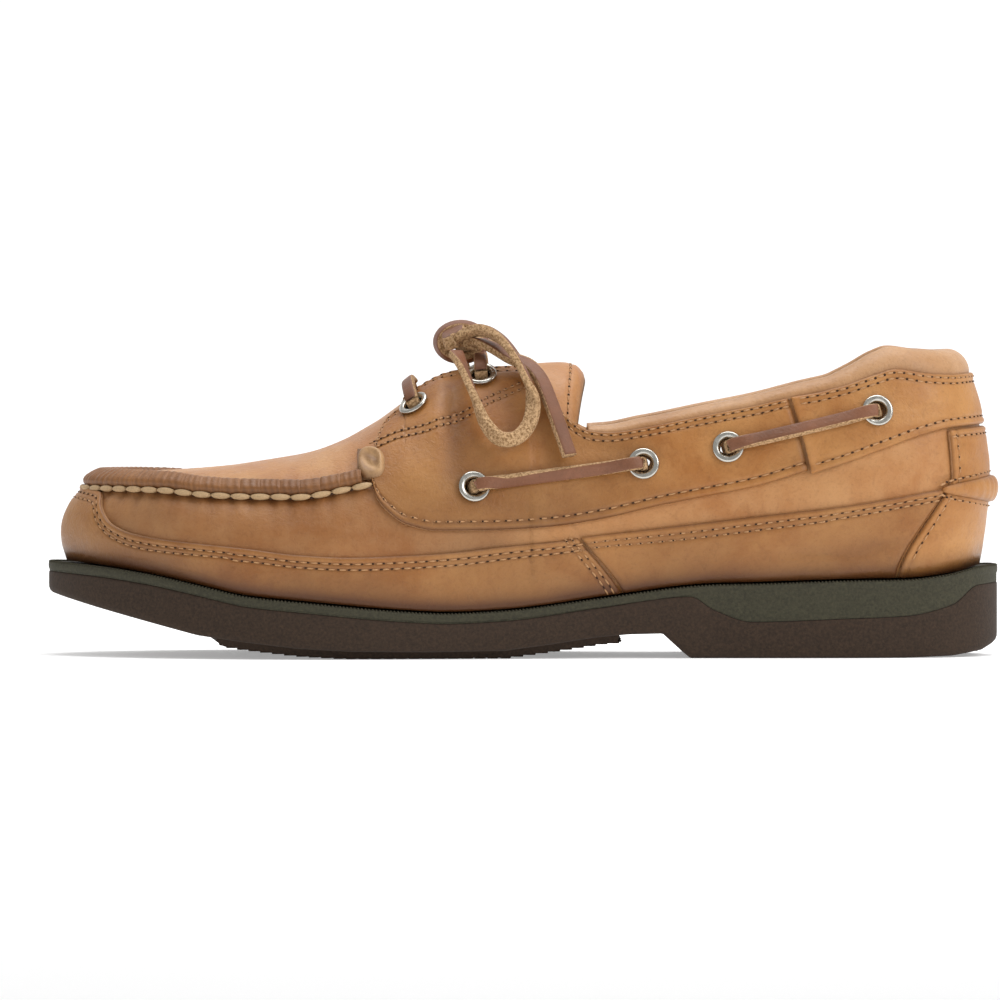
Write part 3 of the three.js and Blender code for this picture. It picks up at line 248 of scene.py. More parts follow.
def section_table(side):
    """Every cross-section of one side, as columns over s from the heel (0) to the toe (1)."""
    s = np.linspace(0, 1, 1601)
    heel, toe = s < FAN_SHARE, s > 1 - FAN_SHARE
    th, tt = s / FAN_SHARE, (1 - s) / FAN_SHARE
    tm = (s - FAN_SHARE) / (1 - 2 * FAN_SHARE)
    turn = np.where(heel, np.pi - th * np.pi / 2, np.where(toe, tt * np.pi / 2, np.pi / 2))
    first, last = HEEL_PIVOT + FAN_TRAVEL, TOE_PIVOT - FAN_TRAVEL
    middle = np.where(heel, HEEL_PIVOT + FAN_TRAVEL * th**2,
                      np.where(toe, TOE_PIVOT - FAN_TRAVEL * tt**2, first + (last - first) * tm))
    y = -smooth(LAST, "lean", middle) * BALL_WIDTH
    dx, dy = np.cos(turn), np.sin(turn) * side
    reach = reach_of(middle * LENGTH, y, dx, dy)
    along = middle + dx * reach_of(middle * LENGTH, y, dx, np.abs(dy)) / LENGTH
    edge = EDGE_SIDE + (EDGE_END - EDGE_SIDE) * np.abs(dx)
    foot_along = middle + dx * (reach - edge) / LENGTH
    return {
        "s": s, "x": middle * LENGTH, "y": y, "dx": dx, "dy": dy, "reach": reach, "along": along,
        "edge": edge, "boxy": smooth(LAST, "boxy", along),
        "crest": smooth(LAST, "crest", middle) * INSTEP_HEIGHT,
        "foot": sole_top(foot_along) + FOOT_GAP, "plump": smooth(LAST, "plump", along),
    }


SECTIONS = {1: section_table(1), -1: section_table(-1)}


def cut(side, s, *names):
    """Columns of the sections at s, for arrays of sides and places."""
    side, s = np.broadcast_arrays(np.asarray(side, float), np.asarray(s, float))
    made = []
    for name in names:
        outer = np.interp(s, SECTIONS[1]["s"], SECTIONS[1][name])
        inner = np.interp(s, SECTIONS[-1]["s"], SECTIONS[-1][name])
        made.append(np.where(side > 0, outer, inner))
    return made if len(made) > 1 else made[0]


def skin(side, s, w):
    """Points of the upper's outer skin, from its foot (w 0) to its crest (w 1)."""
    x, y, dx, dy, reach, edge, boxy, crest, foot, plump = cut(
        side, s, "x", "y", "dx", "dy", "reach", "edge", "boxy", "crest", "foot", "plump")
    turn = np.clip(w, 0, 1) * np.pi / 2
    across = np.maximum(np.cos(turn), 0) ** (2 / boxy)
    up = np.sin(turn) ** (2 / boxy)
    at_heel = np.asarray(s) < 0.5
    most = np.where(at_heel, BULGE_HEEL, BULGE_TOE)
    up_to = np.where(at_heel, BULGE_REACH_HEEL, BULGE_REACH_TOE)
    bulge = most * plump * np.sin(np.pi * np.minimum(up / up_to, 1))
    far = np.where(np.asarray(w) >= 1, 0, (reach - edge) * across + bulge)
    return np.stack([x + dx * far, y + dy * far, foot + (crest - foot) * up], -1)


def at_height(side, s, height):
    boxy, crest, foot = cut(side, s, "boxy", "crest", "foot")
    up = np.clip((height - foot) / (crest - foot), 0, 1)
    return np.arcsin(up ** (boxy / 2)) * 2 / np.pi


def at_half(side, s, half):
    boxy, reach, edge = cut(side, s, "boxy", "reach", "edge")
    across = np.clip(half / (reach - edge), 0, 1)
    return np.arccos(across ** (boxy / 2)) * 2 / np.pi


def normals(side, s, w):
    """Unit normals of the skin, smoothed over the crest."""
    side, s, w = np.broadcast_arrays(np.asarray(side, float), np.asarray(s, float), np.asarray(w, float))
    step_s, step_w = 0.002, 0.01
    low_w = np.minimum(w, 0.985)
    along = skin(side, np.minimum(s + step_s, 1), low_w) - skin(side, np.maximum(s - step_s, 0), low_w)
    upward = skin(side, s, np.minimum(low_w + step_w, 0.995)) - skin(side, s, np.maximum(low_w - step_w, 0))
    n = np.cross(along, upward) * side[..., None]
    ridge = skin(side, np.minimum(s + step_s, 1), 1) - skin(side, np.maximum(s - step_s, 0), 1)
    ridge[..., 1] = 0
    size = np.linalg.norm(ridge, axis=-1, keepdims=True)
    ridge = np.where(size > 1e-6, ridge / np.maximum(size, 1e-9), 0)
    top = np.array([0.0, 0, 1]) - ridge * ridge[..., 2:3]
    n[..., 1] = np.where((s <= 0) | (s >= 1), 0, n[..., 1])
    n[..., 2] = np.where(w < 0.02, 0, n[..., 2])
    dx, dy = cut(side, s, "dx", "dy")
    facing = n[..., 0] * dx + n[..., 1] * dy + n[..., 2] * 0.5
    n = np.where((facing < 0)[..., None], -n, n)
    n /= np.maximum(np.linalg.norm(n, axis=-1, keepdims=True), 1e-12)
    t = np.clip((w - 0.94) / 0.06, 0, 1)[..., None]
    n = n * (1 - t) + top / np.linalg.norm(top, axis=-1, keepdims=True) * t
    return n / np.linalg.norm(n, axis=-1, keepdims=True)


def lifted(side, s, w, out):
    return skin(side, s, w) + normals(side, s, w) * np.asarray(out, float)[..., None]


def place_for(along):
    """s of the section whose foot lies at a place along the shoe."""
    return np.interp(along, SECTIONS[1]["along"], SECTIONS[1]["s"])


def along_of(s):
    return np.interp(s, SECTIONS[1]["s"], SECTIONS[1]["along"])


def top_edge(side, s):
    """Where the leather ends above, at the collar and beside the throat."""
    along = along_of(s)
    collar = at_height(side, s, smooth(COLLAR_LINE, "height", along) * COLLAR_HEIGHT)
    throat = at_half(side, s, smooth(THROAT_LINE, "half", along) * THROAT_HALF)
    edge = np.where(along < THROAT_LINE["along"][0], collar, np.minimum(collar, throat))
    return np.where(along >= THROAT_LINE["along"][-1], 1.0, edge)


def on_instep(rows):
    return lambda side, s: at_height(side, s, smooth(rows, "height", along_of(s)) * INSTEP_HEIGHT)


def shifted(points):
    """Points of the model, in metres and in the frame."""
    moved = np.array(points, float)
    moved[..., 0] += SHIFT[0]
    moved[..., 1] += SHIFT[1]
    return moved * MM


# Meshes

def link_mesh(name, verts, faces, slots, material_of=None, tone=None):
    """One smooth mesh object from points in metres, with its tone as an attribute."""
    mesh = bpy.data.meshes.new(name)
    mesh.from_pydata([tuple(v) for v in verts], [], faces)
    for slot in slots:
        mesh.materials.append(slot)
    if material_of is not None:
        mesh.polygons.foreach_set("material_index", material_of)
    mesh.shade_smooth()
    if tone is not None:
        layer = mesh.attributes.new("tone", "FLOAT", "POINT")
        layer.data.foreach_set("value", np.asarray(tone, np.float32).ravel())
    mesh.update()
    thing = bpy.data.objects.new(name, mesh)
    bpy.context.scene.collection.objects.link(thing)
    return thing


def weld(thing, distance=2e-6):
    """Merges doubles and turns the faces outwards."""
    work = bmesh.new()
    work.from_mesh(thing.data)
    bmesh.ops.remove_doubles(work, verts=work.verts, dist=distance)
    flat = [f for f in work.faces if f.calc_area() < 1e-14]
    bmesh.ops.delete(work, geom=flat, context="FACES")
    bmesh.ops.recalc_face_normals(work, faces=work.faces)
    if work.calc_volume(signed=True) < 0:
        bmesh.ops.reverse_faces(work, faces=work.faces)
    work.to_mesh(thing.data)
    work.free()
    thing.data.shade_smooth()
    return thing


def grid_faces(columns, rows, start=0, loop=False, flip=False):
    """Quads between columns of points, each column holding the same number of rows."""
    i = np.arange(columns if loop else columns - 1)
    j = (i + 1) % columns
    k = np.arange(rows - 1)
    a = start + i[:, None] * rows + k
    b = start + j[:, None] * rows + k
    quads = np.stack([a, b, b + 1, a + 1], -1).reshape(-1, 4)
    return quads[:, ::-1].tolist() if flip else quads.tolist()


def solid_between(name, front, back, slots, tone=None, edge_slot=0, loop=False):
    """A closed sheet between two grids of points (columns, rows, 3), in millimetres."""
    columns, rows = front.shape[:2]
    count = columns * rows
    faces = grid_faces(columns, rows, 0, loop) + grid_faces(columns, rows, count, loop, flip=True)
    inner = len(faces)
    index = np.arange(count).reshape(columns, rows)
    rims = [index[:, 0], index[:, -1][::-1]]
    if not loop:
        rims += [index[0, ::-1], index[-1, :]]
    for rim in rims:
        rim = np.append(rim, rim[0]) if loop else rim
        for a, b in zip(rim[:-1], rim[1:]):
            faces.append([int(a), int(a) + count, int(b) + count, int(b)])
    material_of = np.zeros(len(faces), int)
    material_of[inner:] = edge_slot
    both = None if tone is None else np.concatenate([tone.ravel(), np.full(count, 0.2)])
    verts = shifted(np.concatenate([front.reshape(-1, 3), back.reshape(-1, 3)]))
    return weld(link_mesh(name, verts, faces, slots, material_of, both))


def bump_at(x, centre, width):
    return np.exp(-(((x - centre) / width) ** 2))


# The main creases: along the shoe, height over the floor in mm, both widths, depth.
CREASES = table(
    "along height wide tall depth",
    (0.572, 78, 3.4, 16, 1.5),
    (0.585, 76, 3.5, 13, -0.5),
    (0.566, 63, 7, 9, 0.5),
    (0.63, 66, 6, 8, -0.6),
    (0.60, 58, 9, 7, -0.5),
    (0.20, 62, 12, 3.5, 0.5),
    (0.13, 36, 11, 2.2, 0.5),
    (0.17, 33, 14, 1.8, 0.45),
    (0.24, 52, 16, 3, -0.4),
    (0.34, 58, 15, 4, -0.4),
    (0.40, 66, 9, 3, 0.5),
    (0.50, 62, 12, 5, -0.5),
    (0.48, 47, 14, 3, 0.35),
    (0.70, 33, 18, 4, -0.35),
    (0.80, 46, 16, 4, -0.4),
    (0.74, 44, 10, 2.5, 0.3),
    (0.88, 45, 9, 3, 0.3),
    (0.93, 48, 6, 4, -0.3),
)


def relief(side, s, w, seed=0.0):
    """Height of the leather's soft troughs and swells over the last, in millimetres."""
    at = skin(side, s, w)
    x, z = at[..., 0] / LENGTH, at[..., 2]
    made = np.zeros(np.shape(x))
    for along, height, wide, tall, depth in zip(*CREASES.values()):
        made -= depth * bump_at(x * LENGTH, along * LENGTH, wide) * bump_at(z, height, tall)
    y = at[..., 1]
    made += 0.22 * np.sin(at[..., 0] / 9.0 + 1.3 * np.sin(z / 7.0) + seed) * np.sin(z / 8.0 + y / 13.0 + 0.7)
    made += 0.10 * np.sin(at[..., 0] / 3.9 + 2.1 * np.sin(z / 5.0)) * np.sin(z / 4.1 + y / 6.0)
    return made


def gathers(side, s, w):
    """Puckers of the toe wall and the plug along the moccasin seam."""
    along = along_of(s)
    at = skin(side, s, w)
    foot = smooth(RIDGE_LINE, "height", along) * INSTEP_HEIGHT
    gap = at[..., 2] - foot
    length = ridge_length(side, s)
    wave = np.cos(2 * np.pi * length / RIDGE_PITCH)
    fine = np.sin(2 * np.pi * length / (RIDGE_PITCH * 0.37) + side)
    below = np.where(gap < 0, np.exp(gap / 5.0), np.exp(-gap / 2.2))
    near = np.clip((along - 0.655) / 0.02, 0, 1)
    return near * below * (0.5 * wave + 0.15 * fine)


RIDGE_S = np.linspace(place_for(0.6), 1, 800)


def ridge_path(side):
    """Distance from the toe's middle at each place of the ridge, in millimetres."""
    foot = smooth(RIDGE_LINE, "height", along_of(RIDGE_S)) * INSTEP_HEIGHT
    line = skin(side, RIDGE_S, at_height(side, RIDGE_S, foot))
    far = np.concatenate([[0], np.cumsum(np.linalg.norm(np.diff(line, axis=0), axis=1))])
    return far[-1] - far


RIDGE_PATH = {1: ridge_path(1), -1: ridge_path(-1)}


def ridge_length(side, s):
    """Distance from the toe's middle along the moccasin seam, in millimetres."""
    side, s = np.broadcast_arrays(np.asarray(side, float), np.asarray(s, float))
    outer, inner = np.interp(s, RIDGE_S, RIDGE_PATH[1]), np.interp(s, RIDGE_S, RIDGE_PATH[-1])
    return np.where(side > 0, outer, -inner)


class Panel:
    """A sewn-on panel as a fine grid over the skin, with the distances to its four edges."""

    def __init__(self, side, s, w, base=SKIN_GAP, thick=OVERLAY, rim=0.55):
        self.side, self.s, self.w = np.broadcast_arrays(np.asarray(side, float), s, w)
        bare = skin(self.side, self.s, self.w)
        up = np.linalg.norm(np.diff(bare, axis=1), axis=-1)
        low = np.concatenate([np.zeros((len(bare), 1)), np.cumsum(up, 1)], 1)
        across = np.linalg.norm(np.diff(bare, axis=0), axis=-1)
        first = np.concatenate([np.zeros((1, bare.shape[1])), np.cumsum(across, 0)], 0)
        self.edges = {"low": low, "high": low[:, -1:] - low, "first": first, "last": first[-1:] - first}
        self.base, self.thick, self.rim = base, thick, rim
        self.extra = np.zeros(low.shape)
        self.rows = []

    def nearest(self, *names):
        return np.minimum.reduce([self.edges[n] for n in names])

    def row(self, *names, inset=SEAM_IN, strength=0.32):
        """A sewn line at a distance in from the named edges: the leather sinks along it."""
        distance = self.nearest(*names)
        self.extra -= strength * bump_at(distance, inset, 0.55)
        self.extra += 0.16 * bump_at(distance, inset * 0.4, 0.7)
        self.rows.append((names, inset))

    def heights(self, open_edges=()):
        free = [n for n in self.edges if n not in open_edges]
        edge = self.nearest(*free)
        rounding = np.sqrt(np.clip(1 - (1 - np.clip(edge / self.rim, 0, 1)) ** 2, 0, 1))
        top = self.base + self.thick * (0.55 + 0.45 * rounding)
        soft = np.clip(edge / 4, 0, 1)
        return top + self.extra + relief(self.side, self.s, self.w) * soft

    def build(self, name, slots, edge_slot=1, open_edges=(), puckered=False, shade=0.0):
        out = self.heights(open_edges)
        if puckered:
            out = out + gathers(self.side, self.s, self.w) * 0.6
        self.front = lifted(self.side, self.s, self.w, out)
        back = lifted(self.side, self.s, self.w, 0.12)
        edge = self.nearest(*[n for n in self.edges if n not in open_edges])
        # Painted shade in the tone: the shade argument darkens the whole panel, and its edges, sunk sewn rows
        # and folds are darker where shade falls, its swells paler
        tone = 0.12 + shade + 0.4 * np.exp(-edge / 0.8) - self.extra * 0.6
        # painted contact shadow: darker towards the open lower edge at the sole
        if "low" in open_edges:
            tone = tone + 0.85 * np.exp(-self.edges["low"] / 4.2)
        tone = np.clip(tone - 0.22 * relief(self.side, self.s, self.w, 1.0), 0, 1)
        return solid_between(name, self.front, back, slots, tone, edge_slot)

    def line(self, name, inset, start=0.0, stop=1.0):
        """Points on the panel's face at a distance in from one edge."""
        grid = self.edges[name]
        if name in ("low", "high"):
            columns = range(int(start * (len(grid) - 1)), int(stop * (len(grid) - 1)) + 1)
            order = slice(None) if name == "low" else slice(None, None, -1)
            pick = [(grid[i][order], self.front[i][order]) for i in columns]
        else:
            count = grid.shape[1]
            rows = range(int(start * (count - 1)), int(stop * (count - 1)) + 1)
            order = slice(None) if name == "first" else slice(None, None, -1)
            pick = [(grid[order, k], self.front[order, k]) for k in rows]
        made = [[np.interp(inset, d, p[:, axis]) for axis in range(3)] for d, p in pick if d[-1] > inset]
        return np.array(made)


def stops_round(end, start, count):
    """Sides and places from the outer side round the toe (1) or the heel (0) to the inner side."""
    t = np.linspace(0, 1, 2 * count + 1)
    near = np.abs(2 * t - 1)
    s = end + (place_for(start) - end) * near
    return np.where(t <= 0.5, 1.0, -1.0), s, t


def spread(side, s, low, high, rows):
    """A grid of sides, places and heights between two lines over the skin."""
    w = low[:, None] + (high - low)[:, None] * np.linspace(0, 1, rows)
    return np.reshape(side, (-1, 1)) + 0 * w, s[:, None] + 0 * w, w


def wrap_panel(end, start, low, high, columns, rows, **sizes):
    side, s, _ = stops_round(end, start, columns)
    sd, ss, w = spread(side, s, low(side, s), high(side, s), rows)
    return Panel(sd, lean_at_rear(sd, ss, w), w, **sizes)


def seam_at(seam, w):
    top, slant, reach = seam
    return top + slant * np.maximum(1 - w / reach, 0) ** SEAM_BEND


def side_seam(w):
    return seam_at(SIDE_SEAM, w)


def counter_seam(w):
    return seam_at(COUNTER_SEAM, w)


def lean_at_rear(side, s, w):
    """The joint of the strip and the band lies further forward towards its top."""
    joint = place_for(REAR_FRONT)
    near = np.maximum(1 - np.abs(s - joint) / REAR_LEAN_REACH, 0)
    low, high = on_instep(REAR_LOW)(side, joint), top_edge(side, joint)
    slant = place_for(REAR_FRONT + REAR_LEAN) - joint
    return s + slant * near * np.clip((w - low) / (high - low), 0, 1)


def leaning(side, top, rear, fore, columns, rows):
    """Places of a panel between two leaning seams."""
    u, t = np.meshgrid(np.linspace(0, 1, columns), np.linspace(0, 1, rows), indexing="ij")
    s = np.full(u.shape, 0.5)
    for _ in range(4):
        w = top(side, s) * t
        a = place_for(rear(w)) if rear else 0 * w
        b = place_for(fore(w)) if fore else 0 * w + 1
        s = a + (b - a) * u
    return s, top(side, s) * t


def joined_halves(make, meets_last, **sizes):
    (s1, w1), (s2, w2) = make(1), make(-1)
    if meets_last:
        s, w = np.vstack([s1, s2[:-1][::-1]]), np.vstack([w1, w2[:-1][::-1]])
        side = np.concatenate([np.ones(len(s1)), -np.ones(len(s2) - 1)])
    else:
        s, w = np.vstack([s1[1:][::-1], s2]), np.vstack([w1[1:][::-1], w2])
        side = np.concatenate([np.ones(len(s1) - 1), -np.ones(len(s2))])
    return Panel(side[:, None], s, w, **sizes)


# Materials

def srgb(code):
    """A linear colour from a hex value."""
    parts = [int(code[i : i + 2], 16) / 255 for i in (1, 3, 5)]
    return (*[p / 12.92 if p <= 0.04045 else ((p + 0.055) / 1.055) ** 2.4 for p in parts], 1.0)


def put(tree, kind, inputs=None, **settings):
    """Adds a node: inputs by name or number take a value or a socket."""
    made = tree.nodes.new(kind)
    for key, value in settings.items():
        setattr(made, key, value)
    for key, value in (inputs or {}).items():
        socket = made.inputs[key]
        if isinstance(value, bpy.types.NodeSocket):
            tree.links.new(value, socket)
        else:
            socket.default_value = value
    return made


def new_material(name, roughness, **shader):
    material = bpy.data.materials.new(name)
    material.use_nodes = True
    tree = material.node_tree
    tree.nodes.clear()
    surface = put(tree, "ShaderNodeBsdfPrincipled", {"Roughness": roughness, **shader})
    put(tree, "ShaderNodeOutputMaterial", {"Surface": surface.outputs[0]})
    place = put(tree, "ShaderNodeTexCoord").outputs["Object"]
    return material, tree, surface, place


def noise(tree, place, size_mm, detail=3.0, rough=0.55, warp=0.0):
    """Noise whose blobs are about size_mm across."""
    return put(tree, "ShaderNodeTexNoise", {
        "Vector": place, "Scale": 1000 / size_mm, "Detail": detail, "Roughness": rough, "Distortion": warp,
    }).outputs["Fac"]


def span(tree, value, low, high, to_low=0.0, to_high=1.0):
    return put(tree, "ShaderNodeMapRange", {
        "Value": value, "From Min": low, "From Max": high, "To Min": to_low, "To Max": to_high,
    }).outputs["Result"]


def mix(tree, share, a, b, blend="MIX"):
    return put(tree, "ShaderNodeMix", {0: share, 6: a, 7: b}, data_type="RGBA", blend_type=blend).outputs[2]


def bump(tree, height, depth_mm, strength=1.0, below=None):
    inputs = {"Height": height, "Distance": depth_mm * MM, "Strength": strength}
    if below is not None:
        inputs["Normal"] = below
    return put(tree, "ShaderNodeBump", inputs).outputs["Normal"]


def oiled_leather(name, light, mid, dark, roughness=0.44):
    """Oiled pull-up leather: cloudy colour, paler where it is stretched, a fine pebbled grain, soft
    waxy gloss; the tone attribute darkens it with painted shade at edges, sewn rows, folds and the foot."""
    material, tree, surface, place = new_material(name, roughness, **{"Specular IOR Level": 0.38})
    tone = put(tree, "ShaderNodeAttribute", attribute_name="tone").outputs["Fac"]
    clouds = noise(tree, place, 32, 4, 0.6, 0.6)
    mottle = noise(tree, place, 7, 5, 0.65, 0.3)
    speck = noise(tree, place, 0.8, 2, 0.6)
    colour = mix(tree, span(tree, clouds, 0.36, 0.66), srgb(mid), srgb(light))
    colour = mix(tree, span(tree, mottle, 0.45, 0.75, 0, 0.5), colour, srgb(light))
    veins = noise(tree, place, 4.5, 5, 0.7, 2.0)
    colour = mix(tree, span(tree, veins, 0.5, 0.75, 0, 0.2), colour, srgb(dark))
    # painted shade: the tone attribute darkens the colour at edges, along sewn rows, in folds and at the foot
    colour = mix(tree, span(tree, tone, 0.2, 1.0, 0, 0.92), colour, srgb(dark))
    colour = mix(tree, span(tree, speck, 0.55, 0.78, 0, 0.2), colour, srgb(dark))
    tree.links.new(colour, surface.inputs["Base Color"])
    gloss = span(tree, mottle, 0.3, 0.7, roughness - 0.07, roughness + 0.1)
    tree.links.new(gloss, surface.inputs["Roughness"])
    pebble = put(tree, "ShaderNodeTexVoronoi", {"Vector": place, "Scale": 1000 / 0.9}).outputs["Distance"]
    grain = bump(tree, pebble, 0.07, 0.55)
    folds = bump(tree, noise(tree, place, 2.6, 4, 0.62, 1.6), 0.34, 0.6, grain)
    swell = bump(tree, noise(tree, place, 14, 3, 0.5, 0.8), 0.5, 0.35, folds)
    tree.links.new(swell, surface.inputs["Normal"])
    return material


def darker(code, share):
    """A colour from a hex value, with a share of its light."""
    return (*[part * share for part in srgb(code)[:3]], 1.0)


def cut_edge(name, code):
    """The raw edge of a panel: fibrous, darker, dull."""
    material, tree, surface, place = new_material(name, 0.8)
    fibre = noise(tree, place, 0.5, 4, 0.7)
    colour = mix(tree, span(tree, fibre, 0.35, 0.65), darker(code, 0.7), srgb(code))
    tree.links.new(colour, surface.inputs["Base Color"])
    tree.links.new(bump(tree, fibre, 0.12, 0.8), surface.inputs["Normal"])
    return material


def moulded_rubber(name, light, dark, depth_mm=0.16):
    """Moulded rubber with a sandblasted, stippled face: dull, dusty on its high spots."""
    material, tree, surface, place = new_material(name, 0.82, **{"Specular IOR Level": 0.35})
    stipple = noise(tree, place, 0.9, 3, 0.7)
    dust = noise(tree, place, 11, 4, 0.6)
    colour = mix(tree, span(tree, stipple, 0.35, 0.7), srgb(dark), srgb(light))
    colour = mix(tree, span(tree, dust, 0.5, 0.8, 0, 0.3), colour, srgb(light))
    tree.links.new(colour, surface.inputs["Base Color"])
    tree.links.new(bump(tree, stipple, depth_mm, 0.9), surface.inputs["Normal"])
    return material


def nickel_plate(name):
    """Polished nickel plate on pressed brass: bright, with faint wear."""
    material, tree, surface, place = new_material(name, 0.2, **{"Metallic": 1.0})
    haze = noise(tree, place, 2.5, 3, 0.6)
    tree.links.new(mix(tree, haze, srgb("#a29f97"), srgb("#cbc8c0")), surface.inputs["Base Color"])
    tree.links.new(span(tree, haze, 0.3, 0.7, 0.14, 0.32), surface.inputs["Roughness"])
    return material


def plain_matte(name, code, roughness=0.85, grain_mm=0.6, depth_mm=0.05):
    """Thread, suede or the painted shade in a needle hole: one dull colour with a fine nap."""
    material, tree, surface, place = new_material(name, roughness)
    nap = noise(tree, place, grain_mm, 3, 0.6)
    colour = mix(tree, span(tree, nap, 0.3, 0.7), darker(code, 0.72), srgb(code))
    tree.links.new(colour, surface.inputs["Base Color"])
    tree.links.new(bump(tree, nap, depth_mm, 0.7), surface.inputs["Normal"])
    return material


def speckled_suede(name, light, dark):
    """The rough sides of a rawhide strip: pale fibre bundles with dark pits between them."""
    material, tree, surface, place = new_material(name, 0.92)
    pits = noise(tree, place, 0.75, 2, 0.7)
    patches = noise(tree, place, 4, 2, 0.5)
    colour = mix(tree, span(tree, pits, 0.38, 0.6), srgb(dark), srgb(light))
    colour = mix(tree, span(tree, patches, 0.45, 0.7, 0, 0.35), colour, srgb(dark))
    tree.links.new(colour, surface.inputs["Base Color"])
    tree.links.new(bump(tree, pits, 0.3, 0.9), surface.inputs["Normal"])
    return material


LEATHER = oiled_leather("oiled_leather_tan", "#b48049", "#9a622d", "#4e2a11")
# Paler copies of the tan leather for the upper, the tongue and the collar roll: painted light on parts that
# face the light from above
PLUG = oiled_leather("oiled_leather_lit_pale", "#bc8b5a", "#a66e3c", "#582f13")
ROLL = oiled_leather("oiled_leather_lit_soft", "#b98f67", "#a3764c", "#5a381e", 0.42)
RIDGE = oiled_leather("oiled_leather_burnished", "#926339", "#774c27", "#422510", 0.5)
LINING = plain_matte("lining_leather", "#b98f63", 0.75, 1.2, 0.06)
EDGE = cut_edge("cut_leather_edge", "#b88b60")
GREY_RUBBER = moulded_rubber("moulded_rubber_grey_green", "#413e2e", "#2f2d21")
BROWN_RUBBER = moulded_rubber("moulded_rubber_brown", "#3d2d20", "#291d13")
NICKEL = nickel_plate("nickel_plate")
THREAD = plain_matte("waxed_thread", "#b98a5c", 0.6, 0.4, 0.04)
CORD_THREAD = plain_matte("waxed_hand_thread", "#bc9c73", 0.65, 0.5, 0.06)
# painted shade: a dark bead set in each needle hole, where the hole's own shade falls
HOLE_SHADE = plain_matte("needle_hole_shade", "#3f2511", 0.95)
LACE_FACE = oiled_leather("rawhide_face", "#82543a", "#6b432c", "#3f2515", 0.5)
LACE_EDGE = speckled_suede("rawhide_suede_side", "#c4a077", "#80603c")
BEAD = oiled_leather("rawhide_rolled_end", "#cba57a", "#a37c52", "#593820", 0.5)


def finish(thing, slot, *nodes):
    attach(thing, "root")
    if nodes:
        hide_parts(*nodes)
    return thing


# Eyelets come first, because their holes are cut through the leather

def eyelet_place(side, row):
    """An eyelet's centre on the skin, and the normal there."""
    along, height = EYELETS[row]
    s = place_for(along)
    w = at_height(side, s, height * INSTEP_HEIGHT)
    return skin(side, s, w), normals(side, s, w)


def turned(profile, centre, normal, sides):
    """A ring turned round a normal: profile of (radius, height) in millimetres, closed on itself."""
    z = normal / np.linalg.norm(normal)
    x = np.cross([0, 0, 1.0], z)
    x /= np.linalg.norm(x)
    y = np.cross(z, x)
    a = np.linspace(0, 2 * np.pi, sides, endpoint=False)
    ring = np.cos(a)[:, None] * x + np.sin(a)[:, None] * y
    r, h = np.array(profile, float).T
    return centre + ring[:, None, :] * r[None, :, None] + z * h[None, :, None]


def closed_rings(name, grids, slots):
    verts, faces, start = [], [], 0
    for grid in grids:
        columns, rows = grid.shape[:2]
        verts.append(grid.reshape(-1, 3))
        i, k = np.meshgrid(np.arange(columns), np.arange(rows), indexing="ij")
        j, m = (i + 1) % columns, (k + 1) % rows
        quads = np.stack([i * rows + k, j * rows + k, j * rows + m, i * rows + m], -1).reshape(-1, 4)
        faces += (quads + start).tolist()
        start += columns * rows
    return weld(link_mesh(name, shifted(np.vstack(verts)), faces, slots, tone=np.zeros(start)))


def eyelet_profile():
    """A rolled flange, a throat that curls into the barrel, and the barrel's thin wall."""
    seat = SKIN_GAP + OVERLAY + 0.05
    bead = np.linspace(-0.35 * np.pi, 0.62 * np.pi, 9)
    rim = [(EYELET_RADIUS - 0.75 + 0.75 * np.cos(a), seat + 0.75 + 0.6 * np.sin(a)) for a in bead]
    curl = [(EYELET_HOLE + out, seat + up) for out, up in ((0.75, 1.25), (0.3, 0.95), (0.05, 0.4))]
    end = -WALL - 0.3
    return [(EYELET_HOLE + 0.5, seat), *rim, *curl, (EYELET_HOLE, end), (EYELET_HOLE + 0.5, end)]


def make_eyelets():
    grids = []
    for side in (1, -1):
        for row in range(len(EYELETS)):
            centre, normal = eyelet_place(side, row)
            grids.append(turned(eyelet_profile(), centre, normal, 40))
    names = [f"eyelet_{word}_{i}" for _, word in SIDES for i in range(1, 7)]
    finish(closed_rings("eyelets", grids, [NICKEL]), "eyelet_metal", *names)


def drill():
    """One object of short rods, which cut the eyelets' holes."""
    sides = 24
    verts, faces = [], []
    for side in (1, -1):
        for row in range(len(EYELETS)):
            centre, normal = eyelet_place(side, row)
            low = [2 * (sides * len(verts) + i) for i in range(sides)]
            rod = turned([(DRILL_RADIUS, -DRILL_REACH), (DRILL_RADIUS, DRILL_REACH)], centre, normal, sides)
            verts.append(rod.reshape(-1, 3))
            faces += [[a, b, b + 1, a + 1] for a, b in zip(low, low[1:] + low[:1])]
            faces += [low[::-1], [a + 1 for a in low]]
    return weld(link_mesh("eyelet_drill", shifted(np.vstack(verts)), faces, []))


def drilled(thing, tool):
    """Cuts the holes and leaves a plain mesh."""
    cutter = thing.modifiers.new("holes", "BOOLEAN")
    cutter.operation = "DIFFERENCE"
    cutter.object = tool
    cutter.solver = "EXACT"
    graph = bpy.context.evaluated_depsgraph_get()
    made = bpy.data.meshes.new_from_object(thing.evaluated_get(graph))
    thing.modifiers.clear()
    thing.data = made
    return thing


# Stitches are set along lines by Geometry Nodes

